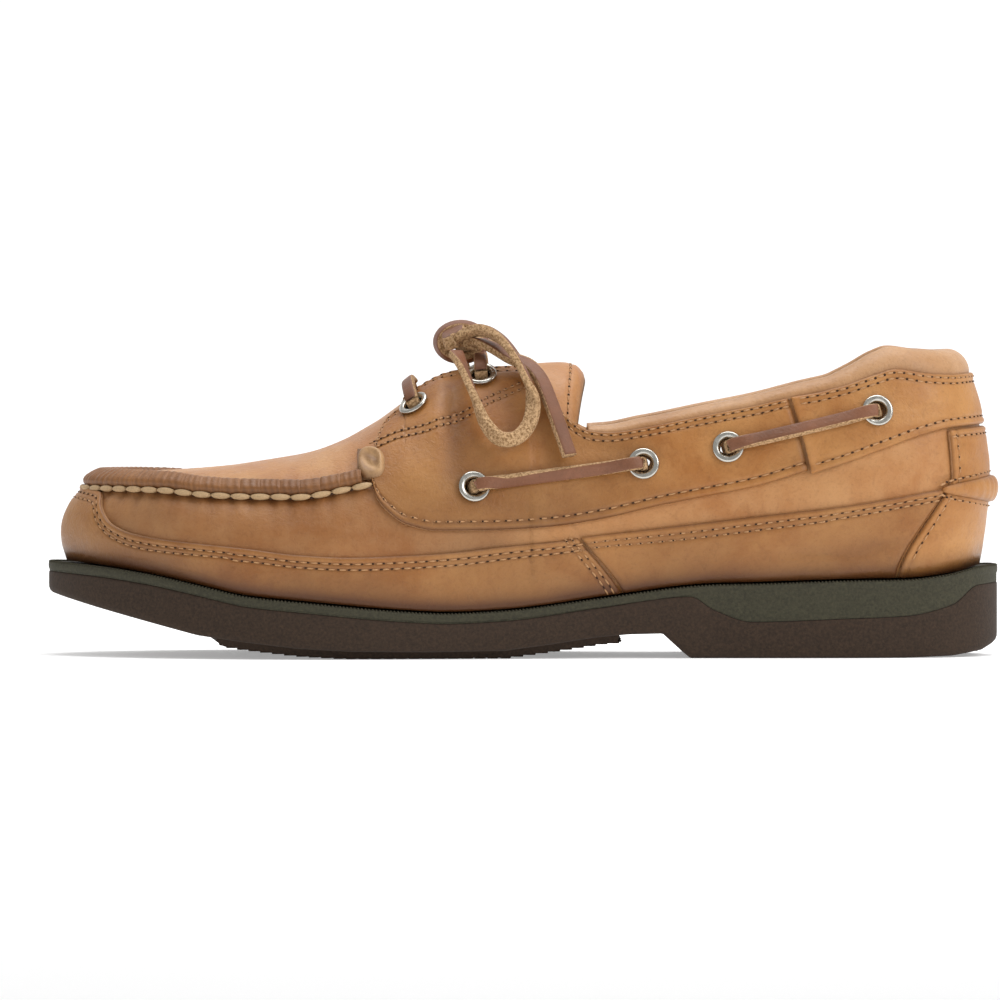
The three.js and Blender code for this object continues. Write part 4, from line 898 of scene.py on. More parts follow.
def stitch_tree():
    """Resamples each line at the pitch and lays one long bead of thread along it at each point."""
    tree = bpy.data.node_groups.new("stitch_row", "GeometryNodeTree")
    face = tree.interface
    face.new_socket("Geometry", in_out="INPUT", socket_type="NodeSocketGeometry")
    for name in ("Pitch", "Length", "Width", "Height"):
        face.new_socket(name, in_out="INPUT", socket_type="NodeSocketFloat")
    face.new_socket("Material", in_out="INPUT", socket_type="NodeSocketMaterial")
    face.new_socket("Geometry", in_out="OUTPUT", socket_type="NodeSocketGeometry")
    given = put(tree, "NodeGroupInput").outputs
    line = put(tree, "GeometryNodeMeshToCurve", {"Mesh": given["Geometry"]}).outputs[0]
    pitch = {"Curve": line, "Length": given["Pitch"]}
    even = put(tree, "GeometryNodeResampleCurve", pitch, mode="LENGTH").outputs[0]
    bead = put(tree, "GeometryNodeMeshUVSphere", {"Segments": 8, "Rings": 6, "Radius": 0.5}).outputs["Mesh"]
    tangent = put(tree, "GeometryNodeInputTangent").outputs[0]
    turn = put(tree, "FunctionNodeAlignEulerToVector", {"Vector": tangent}, axis="X").outputs[0]
    size = put(tree, "ShaderNodeCombineXYZ", {
        "X": given["Length"], "Y": given["Width"], "Z": given["Height"]}).outputs[0]
    laid = put(tree, "GeometryNodeInstanceOnPoints", {
        "Points": even, "Instance": bead, "Rotation": turn, "Scale": size}).outputs[0]
    real = put(tree, "GeometryNodeRealizeInstances", {"Geometry": laid}).outputs[0]
    shade = put(tree, "GeometryNodeSetShadeSmooth", {"Geometry": real}).outputs[0]
    done = put(tree, "GeometryNodeSetMaterial", {"Geometry": shade, "Material": given["Material"]})
    put(tree, "NodeGroupOutput", {"Geometry": done.outputs[0]})
    return tree


STITCHES = stitch_tree()


def resampled(line, pitch, offset=0.0):
    line = np.asarray(line, float)
    step = np.linalg.norm(np.diff(line, axis=0), axis=1)
    length = np.concatenate([[0], np.cumsum(step)])
    count = max(int(round(length[-1] / pitch)), 1)
    at = (np.arange(count + 1) + offset) * length[-1] / count
    at = at[at <= length[-1]]
    return np.stack([np.interp(at, length, line[:, k]) for k in range(3)], -1)


def along_lines(name, lines, pitch, length, width, height, material, slot):
    """Beads along lines of points in millimetres, as one plain mesh."""
    verts = np.vstack(lines)
    edges, start = [], 0
    for line in lines:
        edges += [(start + i, start + i + 1) for i in range(len(line) - 1)]
        start += len(line)
    mesh = bpy.data.meshes.new(name)
    mesh.from_pydata([tuple(v) for v in shifted(verts)], edges, [])
    thing = bpy.data.objects.new(name, mesh)
    bpy.context.scene.collection.objects.link(thing)
    rows = thing.modifiers.new("rows", "NODES")
    rows.node_group = STITCHES
    values = {"Pitch": pitch * MM, "Length": length * MM, "Width": width * MM, "Height": height * MM,
              "Material": material}
    for item in STITCHES.interface.items_tree:
        if item.in_out == "INPUT" and item.name in values:
            rows[item.identifier] = values[item.name]
    graph = bpy.context.evaluated_depsgraph_get()
    thing.data = bpy.data.meshes.new_from_object(thing.evaluated_get(graph))
    thing.modifiers.clear()
    return finish(thing, slot)


def sewn(name, lines, pitch=STITCH_PITCH, thread=0.75):
    """Machine stitches, and dark beads of painted shade at the needle holes between them."""
    even = [resampled(line, pitch / 6) for line in lines if len(line) > 3]
    along_lines(name + "_stitches", even, pitch, pitch * 0.7, thread, thread * 0.8, THREAD, "seam_leather")
    shifted_half = [line[3:] for line in even if len(line) > 12]
    along_lines(name + "_holes", shifted_half, pitch, 1.0, 0.95, 0.55, HOLE_SHADE, "seam_leather")


# The lace: a strip with rounded corners, swept with its face along given normals

def strip(points, faces_to, width=LACE_WIDTH, thick=LACE_THICK, per_span=8):
    """Centre points, and a closed grid of sections round them, all in millimetres."""
    path = centripetal(points, per_span)
    facing = centripetal(faces_to, per_span)
    tangent = np.gradient(path, axis=0)
    tangent /= np.linalg.norm(tangent, axis=1, keepdims=True)
    across = np.cross(facing, tangent)
    across /= np.linalg.norm(across, axis=1, keepdims=True)
    up = np.cross(tangent, across)
    a = np.linspace(0, 2 * np.pi, 24, endpoint=False) + np.pi / 24
    cx = np.sign(np.cos(a)) * np.abs(np.cos(a)) ** LACE_CORNER * width / 2
    cy = np.sign(np.sin(a)) * np.abs(np.sin(a)) ** LACE_CORNER * thick / 2
    ring = path[:, None] + across[:, None] * cx[None, :, None] + up[:, None] * cy[None, :, None]
    return path, ring


def strip_mesh(name, rings):
    """Strips as one mesh: smooth leather on both faces, suede on both edges and the cut ends."""
    verts, faces, kinds, tones, start = [], [], [], [], 0
    for ring in rings:
        n, m = ring.shape[:2]
        verts.append(ring.reshape(-1, 3))
        a = np.linspace(0, 2 * np.pi, m, endpoint=False) + np.pi / m
        grain = (np.sin(a) > 0) & (np.abs(np.cos(a)) < 0.9)
        for i in range(n - 1):
            for k in range(m):
                j = (k + 1) % m
                here, ahead = start + i * m, start + (i + 1) * m
                faces.append([here + k, ahead + k, ahead + j, here + j])
                kinds.append(int(not (grain[k] and grain[j])))
        faces.append([start + k for k in range(m)])
        faces.append([start + (n - 1) * m + k for k in range(m)][::-1])
        kinds += [1, 1]
        # painted shade: the grain face darker towards both sides, where it rounds over
        tones.append(np.full(n * m, 0.25) + 0.35 * (np.abs(np.cos(np.tile(a, n))) > 0.8))
        start += n * m
    slots = [LACE_FACE, LACE_EDGE]
    return weld(link_mesh(name, shifted(np.vstack(verts)), faces, slots, kinds, np.concatenate(tones)))


def over(side, rows):
    """Points over the skin and their normals from rows of (along, up, out)."""
    along, up, out = np.array(rows, float).T
    s = place_for(along)
    return lifted(side, s, up, out), normals(side, s, up)


def make_camera():
    """The photograph's view: from the outer side, a little above the floor, through a long lens."""
    distance, elevation, azimuth = 4.5, 1.2, 0.0
    frame_width = 0.3182
    aim = Vector((0.0072, 0.0, 0.0492))
    lens = bpy.data.cameras.new("camera")
    lens.sensor_width = 36
    lens.lens = 36 * distance / frame_width
    camera = bpy.data.objects.new("camera", lens)
    bpy.context.scene.collection.objects.link(camera)
    e, a = np.radians(elevation), np.radians(azimuth)
    back = Vector((np.sin(a) * np.cos(e), np.cos(a) * np.cos(e), np.sin(e)))
    camera.location = aim + back * distance
    camera.rotation_euler = (-back).to_track_quat("-Z", "Y").to_euler()
    bpy.context.scene.camera = camera


def area_light(name, place, target, size, power):
    lamp = bpy.data.lights.new(name, "AREA")
    lamp.shape = "RECTANGLE"
    lamp.size, lamp.size_y = size
    lamp.energy = power
    thing = bpy.data.objects.new(name, lamp)
    bpy.context.scene.collection.objects.link(thing)
    thing.location = place
    thing.rotation_euler = (Vector(target) - Vector(place)).to_track_quat("-Z", "Y").to_euler()


def make_stage():
    """A white floor that curves up behind the shoe, in a white room with two softboxes."""
    turn = np.linspace(0, np.pi / 2, 13)
    side = [(2.6, 0.0), *[(-1.6 - 0.8 * np.sin(a), 0.8 - 0.8 * np.cos(a)) for a in turn], (-2.4, 2.6)]
    verts = [(x, y, z) for y, z in side for x in (-2.8, 2.8)]
    faces = [[2 * i, 2 * i + 1, 2 * i + 3, 2 * i + 2] for i in range(len(side) - 1)]
    mesh = bpy.data.meshes.new("floor")
    mesh.from_pydata(verts, [], faces)
    mesh.shade_smooth()
    material, tree, surface, place = new_material("painted_studio_floor", 0.9, **{"Emission Strength": 0.32})
    surface.inputs["Emission Color"].default_value = (1, 1, 1, 1)
    tint = noise(tree, place, 400, 2, 0.5)
    tree.links.new(mix(tree, tint, srgb("#f4f4f4"), srgb("#fafafa")), surface.inputs["Base Color"])
    mesh.materials.append(material)
    floor = bpy.data.objects.new("floor", mesh)
    bpy.context.scene.collection.objects.link(floor)
    world = bpy.data.worlds.new("studio")
    world.use_nodes = True
    world.node_tree.nodes["Background"].inputs[0].default_value = (1, 1, 1, 1)
    world.node_tree.nodes["Background"].inputs[1].default_value = 0.52
    bpy.context.scene.world = world
    bpy.context.scene.view_settings.view_transform = "Standard"
    area_light("softbox_above", (-0.1, -0.15, 1.3), (0, 0, 0.05), (1.2, 0.9), 14)
    area_light("softbox_heel", (-1.2, 0.75, 0.95), (-0.05, 0, 0.05), (0.8, 0.8), 11)


# Cords

def laid_cord(name, points, facing, node):
    path, ring = strip(points, facing, BOW_WIDTH, per_span=9)
    length = float(np.linalg.norm(np.diff(path, axis=0), axis=1).sum()) * MM
    thing = finish(strip_mesh(name, [ring]), "lace_leather", node)
    line = [tuple(p) for p in shifted(path)]


# How the lace's grain face turns along the near loop: outward of the loop, and towards the eye.
LOOP_TURN = np.array((
    (0.7, 0.7), (0.8, 0.6), (0.9, 0.4), (0.9, 0.4), (0.9, 0.4), (0.7, 0.1), (0.5, -0.6), (0.1, -1.0),
    (-0.3, -0.9), (-0.7, -0.5), (-0.85, -0.15), (-0.85, 0.1), (-0.8, 0.3), (-0.6, 0.6),
))

# The knot: place of its middle against the pivot, and the sections of its strands and wraps
KNOT_DROP = 1.3
STRANDS = ((2.4, 2.0), (-2.2, -1.8))  # towards the toe, and up
STRAND_SIZE, WRAP_SIZE = (7.6, 4.8), (5.0, 2.9)
WRAPS = ((2.9, 7.0, 5.3, 0.35), (-2.3, 6.4, 5.0, -0.3))  # across, half width, half height, lean


def make_knot(starts):
    """The square knot: two strands that cross the tongue, and two wraps round them."""
    centre = lifted(1, place_for(KNOT["along"]), 1.0, KNOT["lift"] - KNOT_DROP)
    rings = []
    for (start, second), (shift_x, shift_z) in zip(starts, STRANDS):
        near, far = start[1], start[-1]
        middle = centre + [shift_x, 0, shift_z]
        bend = [end * 0.45 + middle * 0.55 + [0, 0, 1.2] for end in (near, far)]
        points = np.array([near * 0.8 + second[1] * 0.2, near, bend[0], middle, bend[1], far,
                           far * 0.8 + second[-1] * 0.2])
        facing = np.tile([0.35 * np.sign(shift_x), 0, 1.0], (len(points), 1))
        rings.append(strip(points, facing, *STRAND_SIZE, 7)[1])
    for shift_y, wide, high, lean in WRAPS:
        a = np.linspace(-0.5 * np.pi, 1.5 * np.pi, 15)
        across = shift_y + lean * np.cos(a) * 4 + 0.5 * np.sin(2 * a)
        ring = np.stack([np.cos(a) * wide, across, np.sin(a) * high], -1)
        facing = np.stack([np.cos(a) / wide, 0.05 + 0 * a, np.sin(a) / high], -1)
        rings.append(strip(centre + ring, facing, *WRAP_SIZE, 5)[1])
    finish(strip_mesh("lace_knot_wraps", rings), "lace_leather", "lace_knot")


def make_bow():
    loops, ends = ({}, {}), ({}, {})
    for side, word in SIDES:
        points, facing = over(side, LOOP)
        outward = points - points.mean(0)
        outward -= facing * (outward * facing).sum(1, keepdims=True)
        outward /= np.linalg.norm(outward, axis=1, keepdims=True)
        grain = outward * LOOP_TURN[:, :1] + facing * LOOP_TURN[:, 1:]
        laid_cord("bow_loop_" + word, points, grain, "lace_loop_" + word)
        loops[0][side], loops[1][side] = points[0], points[1]
        points, facing = over(side, LACE_END)
        laid_cord("bow_end_" + word, points, facing - [0.45, 0, 0.1], "lace_end_" + word)
        ends[0][side], ends[1][side] = points[0], points[1]
    make_knot([loops, ends])


def through_eyelet(side, row, toward):
    """Points from a lace's run down into an eyelet's hole; toward is the run's direction."""
    centre, normal = eyelet_place(side, row)
    face = SKIN_GAP + OVERLAY
    top = centre + normal * (face + 2.7) + toward * 3.2
    lip = centre + normal * (face + 1.5) + toward * 0.7
    inside = centre + normal * (-1.0) - toward * 0.3
    deep = centre - normal * 3.6 - toward * 0.2
    return [top, lip, inside, deep], [normal, normal * 0.6 + toward * 0.8, toward, toward]


def make_side_runs():
    for side, word in SIDES:
        for part, (first, last) in (("front", (2, 3)), ("rear", (4, 5))):
            a, b = eyelet_place(side, first)[0], eyelet_place(side, last)[0]
            toward = (b - a) / np.linalg.norm(b - a)
            (al, hl), (bl, hh) = EYELETS[first], EYELETS[last]
            t = np.linspace(0.2, 0.8, 5)
            s = place_for(al + (bl - al) * t)
            w = at_height(side, s, (hl + (hh - hl) * t) * INSTEP_HEIGHT)
            middle = lifted(side, s, w, SKIN_GAP + OVERLAY + 1.75 + 0.3 * np.cos(6 * t))
            p1, f1 = through_eyelet(side, first, toward)
            p2, f2 = through_eyelet(side, last, -toward)
            points = np.array([*p1[::-1], *middle, *p2])
            tilt = (1.2 - 1.1 * t if part == "front" else -0.45 + 0 * t)[:, None]
            facing = np.array([*f1[::-1], *(normals(side, s, w) - [0, 0, 1.0] * tilt), *f2])
            ring = strip(points, facing, per_span=7)[1]
            finish(strip_mesh(f"lace_{word}_{part}", [ring]), "lace_leather", f"lace_run_{word}_{part}")


def make_throat_bars():
    for row, word in ((0, "front"), (1, "rear")):
        along, height = EYELETS[row]
        s = place_for(along)
        points, facing = [], []
        for side in (1, -1):
            w0 = at_height(side, s, height * INSTEP_HEIGHT)
            toward = skin(side, s, w0 + 0.08) - eyelet_place(side, row)[0]
            toward /= np.linalg.norm(toward)
            p, f = through_eyelet(side, row, toward)
            mid_w = w0 + (1 - w0) * 0.55
            p = [*p[::-1], lifted(side, s, mid_w, BAR_RISE[word])]
            f = [*f[::-1], normals(side, s, mid_w)]
            if side > 0:
                points = [*p, lifted(1, s, 1.0, BAR_CROWN[word])]
                facing = [*f, normals(1, s, 1.0)]
            else:
                points, facing = [*points, *p[::-1]], [*facing, *f[::-1]]
        ring = strip(np.array(points), np.array(facing), per_span=6)[1]
        finish(strip_mesh("lace_bar_" + word, [ring]), "lace_leather", "lace_throat_bar_" + word)


# The leather

def make_upper(tool):
    """The hollow upper: outer skin with its creases and gathers, lining inside, and the raw edge."""
    steps = np.unique(np.concatenate([np.linspace(0, 1, 210), place_for(np.linspace(0.6, 0.66, 26)),
                                      place_for(np.linspace(0.42, 0.5, 24))]))
    side = np.concatenate([np.ones(len(steps)), -np.ones(len(steps) - 2)])
    s = np.concatenate([steps, steps[1:-1][::-1]])
    rows = np.linspace(0, 1, 64)
    top = top_edge(side, s)
    w = np.minimum(rows[None, :], top[:, None])
    sd, ss = side[:, None] + 0 * w, s[:, None] + 0 * w
    hidden = np.clip((w - 0.02) / 0.05, 0, 1)
    seam_z = skin(sd, ss, w)[..., 2]
    off_seam = (along_of(ss) - 0.4376 - (seam_z - 37.5) * 0.0018) * LENGTH
    seam = bump_at(off_seam, 0, 0.7) * np.clip((48 - seam_z) / 4, 0, 1)
    out = (relief(sd, ss, w) * 0.8 + gathers(sd, ss, w) - 0.6 * seam) * hidden
    front = lifted(sd, ss, w, out)
    back = lifted(sd, ss, w, -WALL)
    along = along_of(ss)
    line = smooth(RIDGE_LINE, "height", along) * INSTEP_HEIGHT
    under = skin(sd, ss, w)[..., 2] - line
    # Painted shade in the tone: darker along the moccasin seam and in the troughs, and on the toe wall below
    # the ridge, which faces away from the light above
    shade = 0.5 * np.exp(-np.abs(under) / 2.4) * (along > 0.65) - out * 0.25
    tone = np.clip(0.14 + shade + 0.4 * (under < 0) * np.clip((along - 0.45) / 0.08, 0, 1), 0, 1)
    columns, count = w.shape[0], w.size
    faces = grid_faces(columns, len(rows), 0, True) + grid_faces(columns, len(rows), count, True, flip=True)
    kinds = [0] * (len(faces) // 2) + [2] * (len(faces) // 2)
    index = np.arange(count).reshape(w.shape)
    for i in range(columns):
        j = (i + 1) % columns
        faces.append([int(index[i, 0]), int(index[i, 0]) + count, int(index[j, 0]) + count, int(index[j, 0])])
        kinds.append(1)
        if top[i] < 1 or top[j] < 1:
            a, b = int(index[i, -1]), int(index[j, -1])
            faces.append([a, b, b + count, a + count])
            kinds.append(1)
    verts = shifted(np.concatenate([front.reshape(-1, 3), back.reshape(-1, 3)]))
    tones = np.concatenate([tone.ravel(), np.full(count, 0.2)])
    upper = weld(link_mesh("upper_leather", verts, faces, [PLUG, EDGE, LINING], kinds, tones), 4e-6)
    finish(drilled(upper, tool), "plug_leather", "upper")


def on_face(side, rows, rise=0.0):
    """A line over a panel through places given as (along, height)."""
    along, height = np.array(rows, float).T
    even = np.linspace(0, 1, 80)
    share = np.linspace(0, 1, len(along))
    along, height = np.interp(even, share, along), np.interp(even, share, height)
    s = place_for(along)
    w = at_height(side, s, height)
    return lifted(side, s, w, SKIN_GAP + OVERLAY + rise + relief(side, s, w))


EYESTAY_SEAM = ((0.657, 64.5), (0.629, 68.2), (0.597, 71), (0.576, 73.8), (0.555, 76), (0.534, 79.7),
                (0.513, 82.3), (0.497, 84.3))


def make_bands(tool):
    for side, word in SIDES:
        ends = place_for(np.array([REAR_FRONT + SEAM_GAP / LENGTH, BAND_TIP]))
        share = np.linspace(0, 1, 170)
        s = ends[0] + (ends[1] - ends[0]) * np.sin(share * np.pi / 2) ** 0.9
        low = on_instep(BAND_LOW)(side, s)
        high = top_edge(side, s)
        tip = along_of(s) > BAND_FRONT["along"][0]
        high = np.where(tip, np.minimum(high, on_instep(BAND_FRONT)(side, s)), high)
        sd, ss, w = spread(side, s, low, high, 64)
        panel = Panel(sd, lean_at_rear(sd, ss, w), w, rim=0.8)
        panel.row("low", inset=2.7, strength=0.42)
        panel.row("high", inset=1.1, strength=0.3)
        panel.row("high", inset=2.9)
        height = skin(panel.side, panel.s, panel.w)[..., 2]
        seam_x, seam_z = np.array(EYESTAY_SEAM).T
        seam = np.interp(along_of(panel.s), seam_x[::-1], seam_z[::-1])
        inside = along_of(panel.s) > seam_x[-1]
        for shift in (0, EYESTAY_ROW):
            panel.extra -= 0.25 * bump_at(height, seam + shift, 0.6) * inside
        # painted shade: the band darker towards its lower front, away from the lights above and behind the
        # heel
        front_part = np.clip((along_of(panel.s) - 0.3) / 0.15, 0, 1)
        low_part = np.clip((80 - height) / 24, 0, 1)
        band = panel.build("band_" + word, [LEATHER, EDGE], shade=0.07 + 0.36 * front_part * low_part)
        finish(drilled(band, tool), "upper_leather", "side_band_" + word)
        across = [on_face(side, [(a, z + shift) for a, z in EYESTAY_SEAM]) for shift in (0, EYESTAY_ROW)]
        sewn("band_" + word, [panel.line("low", 2.7, 0.01, 0.99)], pitch=3.7)
        sewn("collar_" + word, [panel.line("high", inset, 0.01, 0.97) for inset in (1.1, 2.9)], pitch=3.0)
        sewn("eyestay_" + word, across, pitch=2.3)


def make_rear_strip(tool):
    panel = wrap_panel(0, REAR_FRONT - SEAM_GAP / LENGTH, on_instep(REAR_LOW), top_edge, 110, 30, rim=0.9)
    panel.row("low", inset=2.5, strength=0.42)
    panel.row("high", inset=1.1, strength=0.3)
    panel.row("high", inset=2.9)
    panel.extra += 0.7 * np.exp(-panel.nearest("first", "last") / 2.2)
    strip_piece = panel.build("strip_behind", [LEATHER, EDGE])
    finish(drilled(strip_piece, tool), "upper_leather", "rear_strip")
    sewn("strip_behind", [panel.line("low", 2.5, 0.02, 0.98), panel.line("high", 2.9, 0.02, 0.98),
                          panel.line("high", 1.1, 0.02, 0.98)], pitch=3.2)


# The side seam goes on above the foxing, as two rows over the bare upper
SEAM_ABOVE = ((0.4372, 37.2), (0.4405, 39.5), (0.4455, 43.0))


def make_foxing():
    top = on_instep(FOXING_TOP)
    gap = SEAM_GAP / LENGTH
    front = joined_halves(lambda side: leaning(side, top, lambda w: side_seam(w) + gap, None, 190, 34), True)
    front.row("high")
    front.row("high", inset=SEAM_IN + ROW_APART)
    for inset in (2.0, 4.0):
        front.row("first", inset=inset)
        front.row("last", inset=inset)
    toe = front.build("toe_foxing", [LEATHER, EDGE], open_edges=("low",), shade=0.33)
    finish(toe, "upper_leather", "foxing_front")
    lines = [front.line("high", SEAM_IN, 0.005, 0.995), front.line("high", SEAM_IN + ROW_APART, 0.01, 0.99),
             *[front.line(end, inset, 0.06, 0.99) for end in ("first", "last") for inset in (2.0, 4.0)]]
    for side in (1, -1):
        lines += [on_face(side, [(along + shift, height) for along, height in SEAM_ABOVE], -OVERLAY)
                  for shift in (0.007, 0.0135)]
    sewn("toe_foxing", lines)
    for side, word in SIDES:
        places = leaning(side, top, lambda w: counter_seam(w) + gap, lambda w: side_seam(w) - gap, 110, 30)
        rear = Panel(side, *places)
        rear.row("high")
        rear.row("high", inset=SEAM_IN + ROW_APART)
        rear.extra += 0.35 * np.exp(-rear.nearest("last") / 0.7)
        piece = rear.build("quarter_foxing_" + word, [LEATHER, EDGE], open_edges=("low",), shade=0.26)
        finish(piece, "upper_leather", "foxing_rear_" + word)
        sewn("quarter_foxing_" + word, [
            rear.line("high", SEAM_IN, 0.01, 0.99), rear.line("high", SEAM_IN + ROW_APART, 0.01, 0.99)])


def make_heel():
    gap = SEAM_GAP / LENGTH

    def top(side, s):
        return on_instep(REAR_LOW)(side, s) - SEAM_GAP / INSTEP_HEIGHT

    counter = joined_halves(
        lambda side: leaning(side, top, None, lambda w: counter_seam(w) - gap, 60, 44), False)
    counter.row("first", inset=3.0)
    counter.row("last", inset=3.0)
    counter.row("high", inset=2.2)
    finish(counter.build("heel_patch", [LEATHER, EDGE], open_edges=("low",)), "upper_leather", "heel_counter")
    side, s, t = stops_round(0, 0.057, 60)
    rows = np.linspace(0, 1, 24)
    middle = KICKER_LOW * INSTEP_HEIGHT + KICKER_HEIGHT / 2
    leaf = KICKER_HEIGHT / 2 * (0.12 + 0.88 * np.clip(np.sin(np.pi * t), 0, 1) ** 0.6)
    low = at_height(side, s, middle - leaf)
    high = at_height(side, s, middle + leaf)
    sd, ss, w = spread(side, s, low, high, len(rows))
    swell = np.sqrt(np.maximum(1 - (2 * rows - 1) ** 2, 0)) ** 0.8
    ends = np.clip(np.sin(np.pi * t), 0, 1) ** 0.4
    base = SKIN_GAP + OVERLAY
    soft = 0.12 * np.sin(t * 95)[:, None] * swell
    out = base + 0.15 + (KICKER_BULGE + 0.4) * ends[:, None] * swell + soft
    # painted shade: the roll darker towards its upper and lower edges, where it meets the counter
    tone = 0.2 + 0.5 * (1 - swell) + 0 * w
    front, back = lifted(sd, ss, w, out), lifted(sd, ss, w, base - 0.4)
    roll = solid_between("heel_roll", front, back, [LEATHER, EDGE], tone, 0)
    finish(roll, "upper_leather", "heel_kicker")
    above = at_height(side, s, middle + leaf + 1.2)
    below = at_height(side, s, middle - leaf - 1.2)
    lines = [lifted(side, s, at, base + 0.1) for at in (above, below)]
    sewn("heel", [*lines, counter.line("first", 3.0, 0.05, 0.95), counter.line("last", 3.0, 0.05, 0.95),
                  counter.line("high", 2.2, 0.03, 0.97)])


def make_collar():
    """The foam-filled roll: full above the seam, leaning in, gently gathered along its length."""
    side, s, part = stops_round(0, PAD_FRONT, 170)
    t = np.linspace(0, 1, 40)
    edge = smooth(COLLAR_LINE, "height", along_of(s)) * COLLAR_HEIGHT
    rise = PAD_HEIGHT * smooth(PAD_RISE, "height", along_of(s))
    low = at_height(side, s, edge - 0.6)
    high = at_height(side, s, edge + PAD_GAP + rise)
    sd, ss, w = spread(side, s, low, high, len(t))
    swell = np.sqrt(np.maximum(1 - (2 * (0.3 + 0.7 * t) - 1) ** 2, 0))
    length = part * 330
    fine = 0.12 * np.sin(length / 2.6)[:, None] * np.sin(np.pi * t)
    waves = fine + 0.2 * np.sin(length / 8.3)[:, None] * swell
    middle = -PAD_INSIDE - PAD_LEAN * t * t
    half = np.maximum(PAD_THICK / 2 * swell, 0.15)
    # painted shade: darker towards the roll's foot at the seam, and along its gathers
    tone = 0.1 + 0.3 * (1 - t) ** 3 + 0.25 * waves
    front = lifted(sd, ss, w, middle + half + waves * 0.6)
    back = lifted(sd, ss, w, middle - half - waves)
    piece = solid_between("collar_roll", front, back, [ROLL, LINING], tone, 0)
    finish(piece, "upper_leather", "collar_pad")


def make_ridge():
    """The hand-sewn ridge: the plug's edge standing up, gathered a little at every stitch."""
    side, s, _ = stops_round(1, RIDGE_END, 460)
    t = np.linspace(0, 1, 20)
    foot = smooth(RIDGE_LINE, "height", along_of(s)) * INSTEP_HEIGHT
    low = at_height(side, s, foot - RIDGE_WIDTH * 0.5)
    high = at_height(side, s, foot + RIDGE_WIDTH * 0.6)
    sd, ss, w = spread(side, s, low, high, len(t))
    length = ridge_length(side, s)
    pinch = np.maximum(np.cos(2 * np.pi * length / RIDGE_PITCH), 0)[:, None] ** 30
    fine = np.sin(2 * np.pi * length / 2.3 + 1.8 * np.sin(length / 4.0))[:, None]
    swell = np.maximum(1 - np.abs(2 * t - 1) ** 5, 0) ** 0.5
    out = 0.15 + (RIDGE_HEIGHT - 0.3 * pinch + 0.08 * fine) * swell
    # painted shade on the ridge's flanks; lighter at each stitch's pinch and in fine stripes
    tone = 0.25 + 0.5 * (1 - swell) - 0.35 * pinch + 0.12 * fine
    front, back = lifted(sd, ss, w, out), lifted(sd, ss, w, -0.3)
    piece = solid_between("moccasin_ridge", front, back, [RIDGE, EDGE], np.clip(tone, 0, 1), 0)
    finish(piece, "seam_leather", "moc_seam")
    below = at_height(side, s, foot - RIDGE_WIDTH * 0.5 - 0.5)
    even = resampled(lifted(side, s, below, 1.5), RIDGE_PITCH / 6)
    along_lines("moccasin_stitches", [even], RIDGE_PITCH, RIDGE_PITCH * 1.1, 2.3, 2.1, CORD_THREAD,
                "seam_leather")
    # dark beads of painted shade at the holes between the hand stitches
    between = even[3:] - [0, 0, 0.5]
    along_lines("moccasin_holes", [between], RIDGE_PITCH, 1.5, 1.2, 0.9, HOLE_SHADE, "seam_leather")
    make_beads()


# The rolled end's middle (along the shoe, height in mm) and half its size
BEAD_AT, BEAD_HALF = (0.6575, 60.6), (0.0148, 4.7)


def make_beads():
    """The rawhide's end, rolled into a flat knot over each end of the ridge."""
    for side, word in SIDES:
        u, v = np.meshgrid(np.linspace(-1, 1, 44), np.linspace(-1, 1, 44), indexing="ij")
        s = place_for(BEAD_AT[0] - u * BEAD_HALF[0])
        w = at_height(side, s, BEAD_AT[1] + v * BEAD_HALF[1])
        far = (np.abs(u) ** 2.6 + np.abs(v) ** 2.6) ** (1 / 2.6)
        turn = np.arctan2(v, u)
        body = np.sqrt(np.clip(1 - np.clip(far, 0, 1) ** 4, 0, 1))
        rim = bump_at(far, 0.72, 0.2) * np.clip(0.55 + 0.75 * np.cos(turn - 0.7), 0, 1)
        strands = np.sin(7 * (u * 0.5 + v)) * bump_at(far, 0.2, 0.42)
        out = 0.9 + body * (2.3 + 1.1 * rim + 0.22 * strands - 0.9 * bump_at(far, 0.3, 0.35))
        # painted highlight on the raised rim, painted shade towards the rolled end's border; stripes along
        # its strands
        tone = np.clip(0.45 - 0.55 * rim + 0.3 * strands + 0.4 * (1 - body), 0, 1)
        front, back = lifted(side, s, w, out), lifted(side, s, w, 0.7)
        tab = solid_between("rolled_end_" + word, front, back, [BEAD, EDGE], tone, 0)
        finish(tab, "seam_leather")


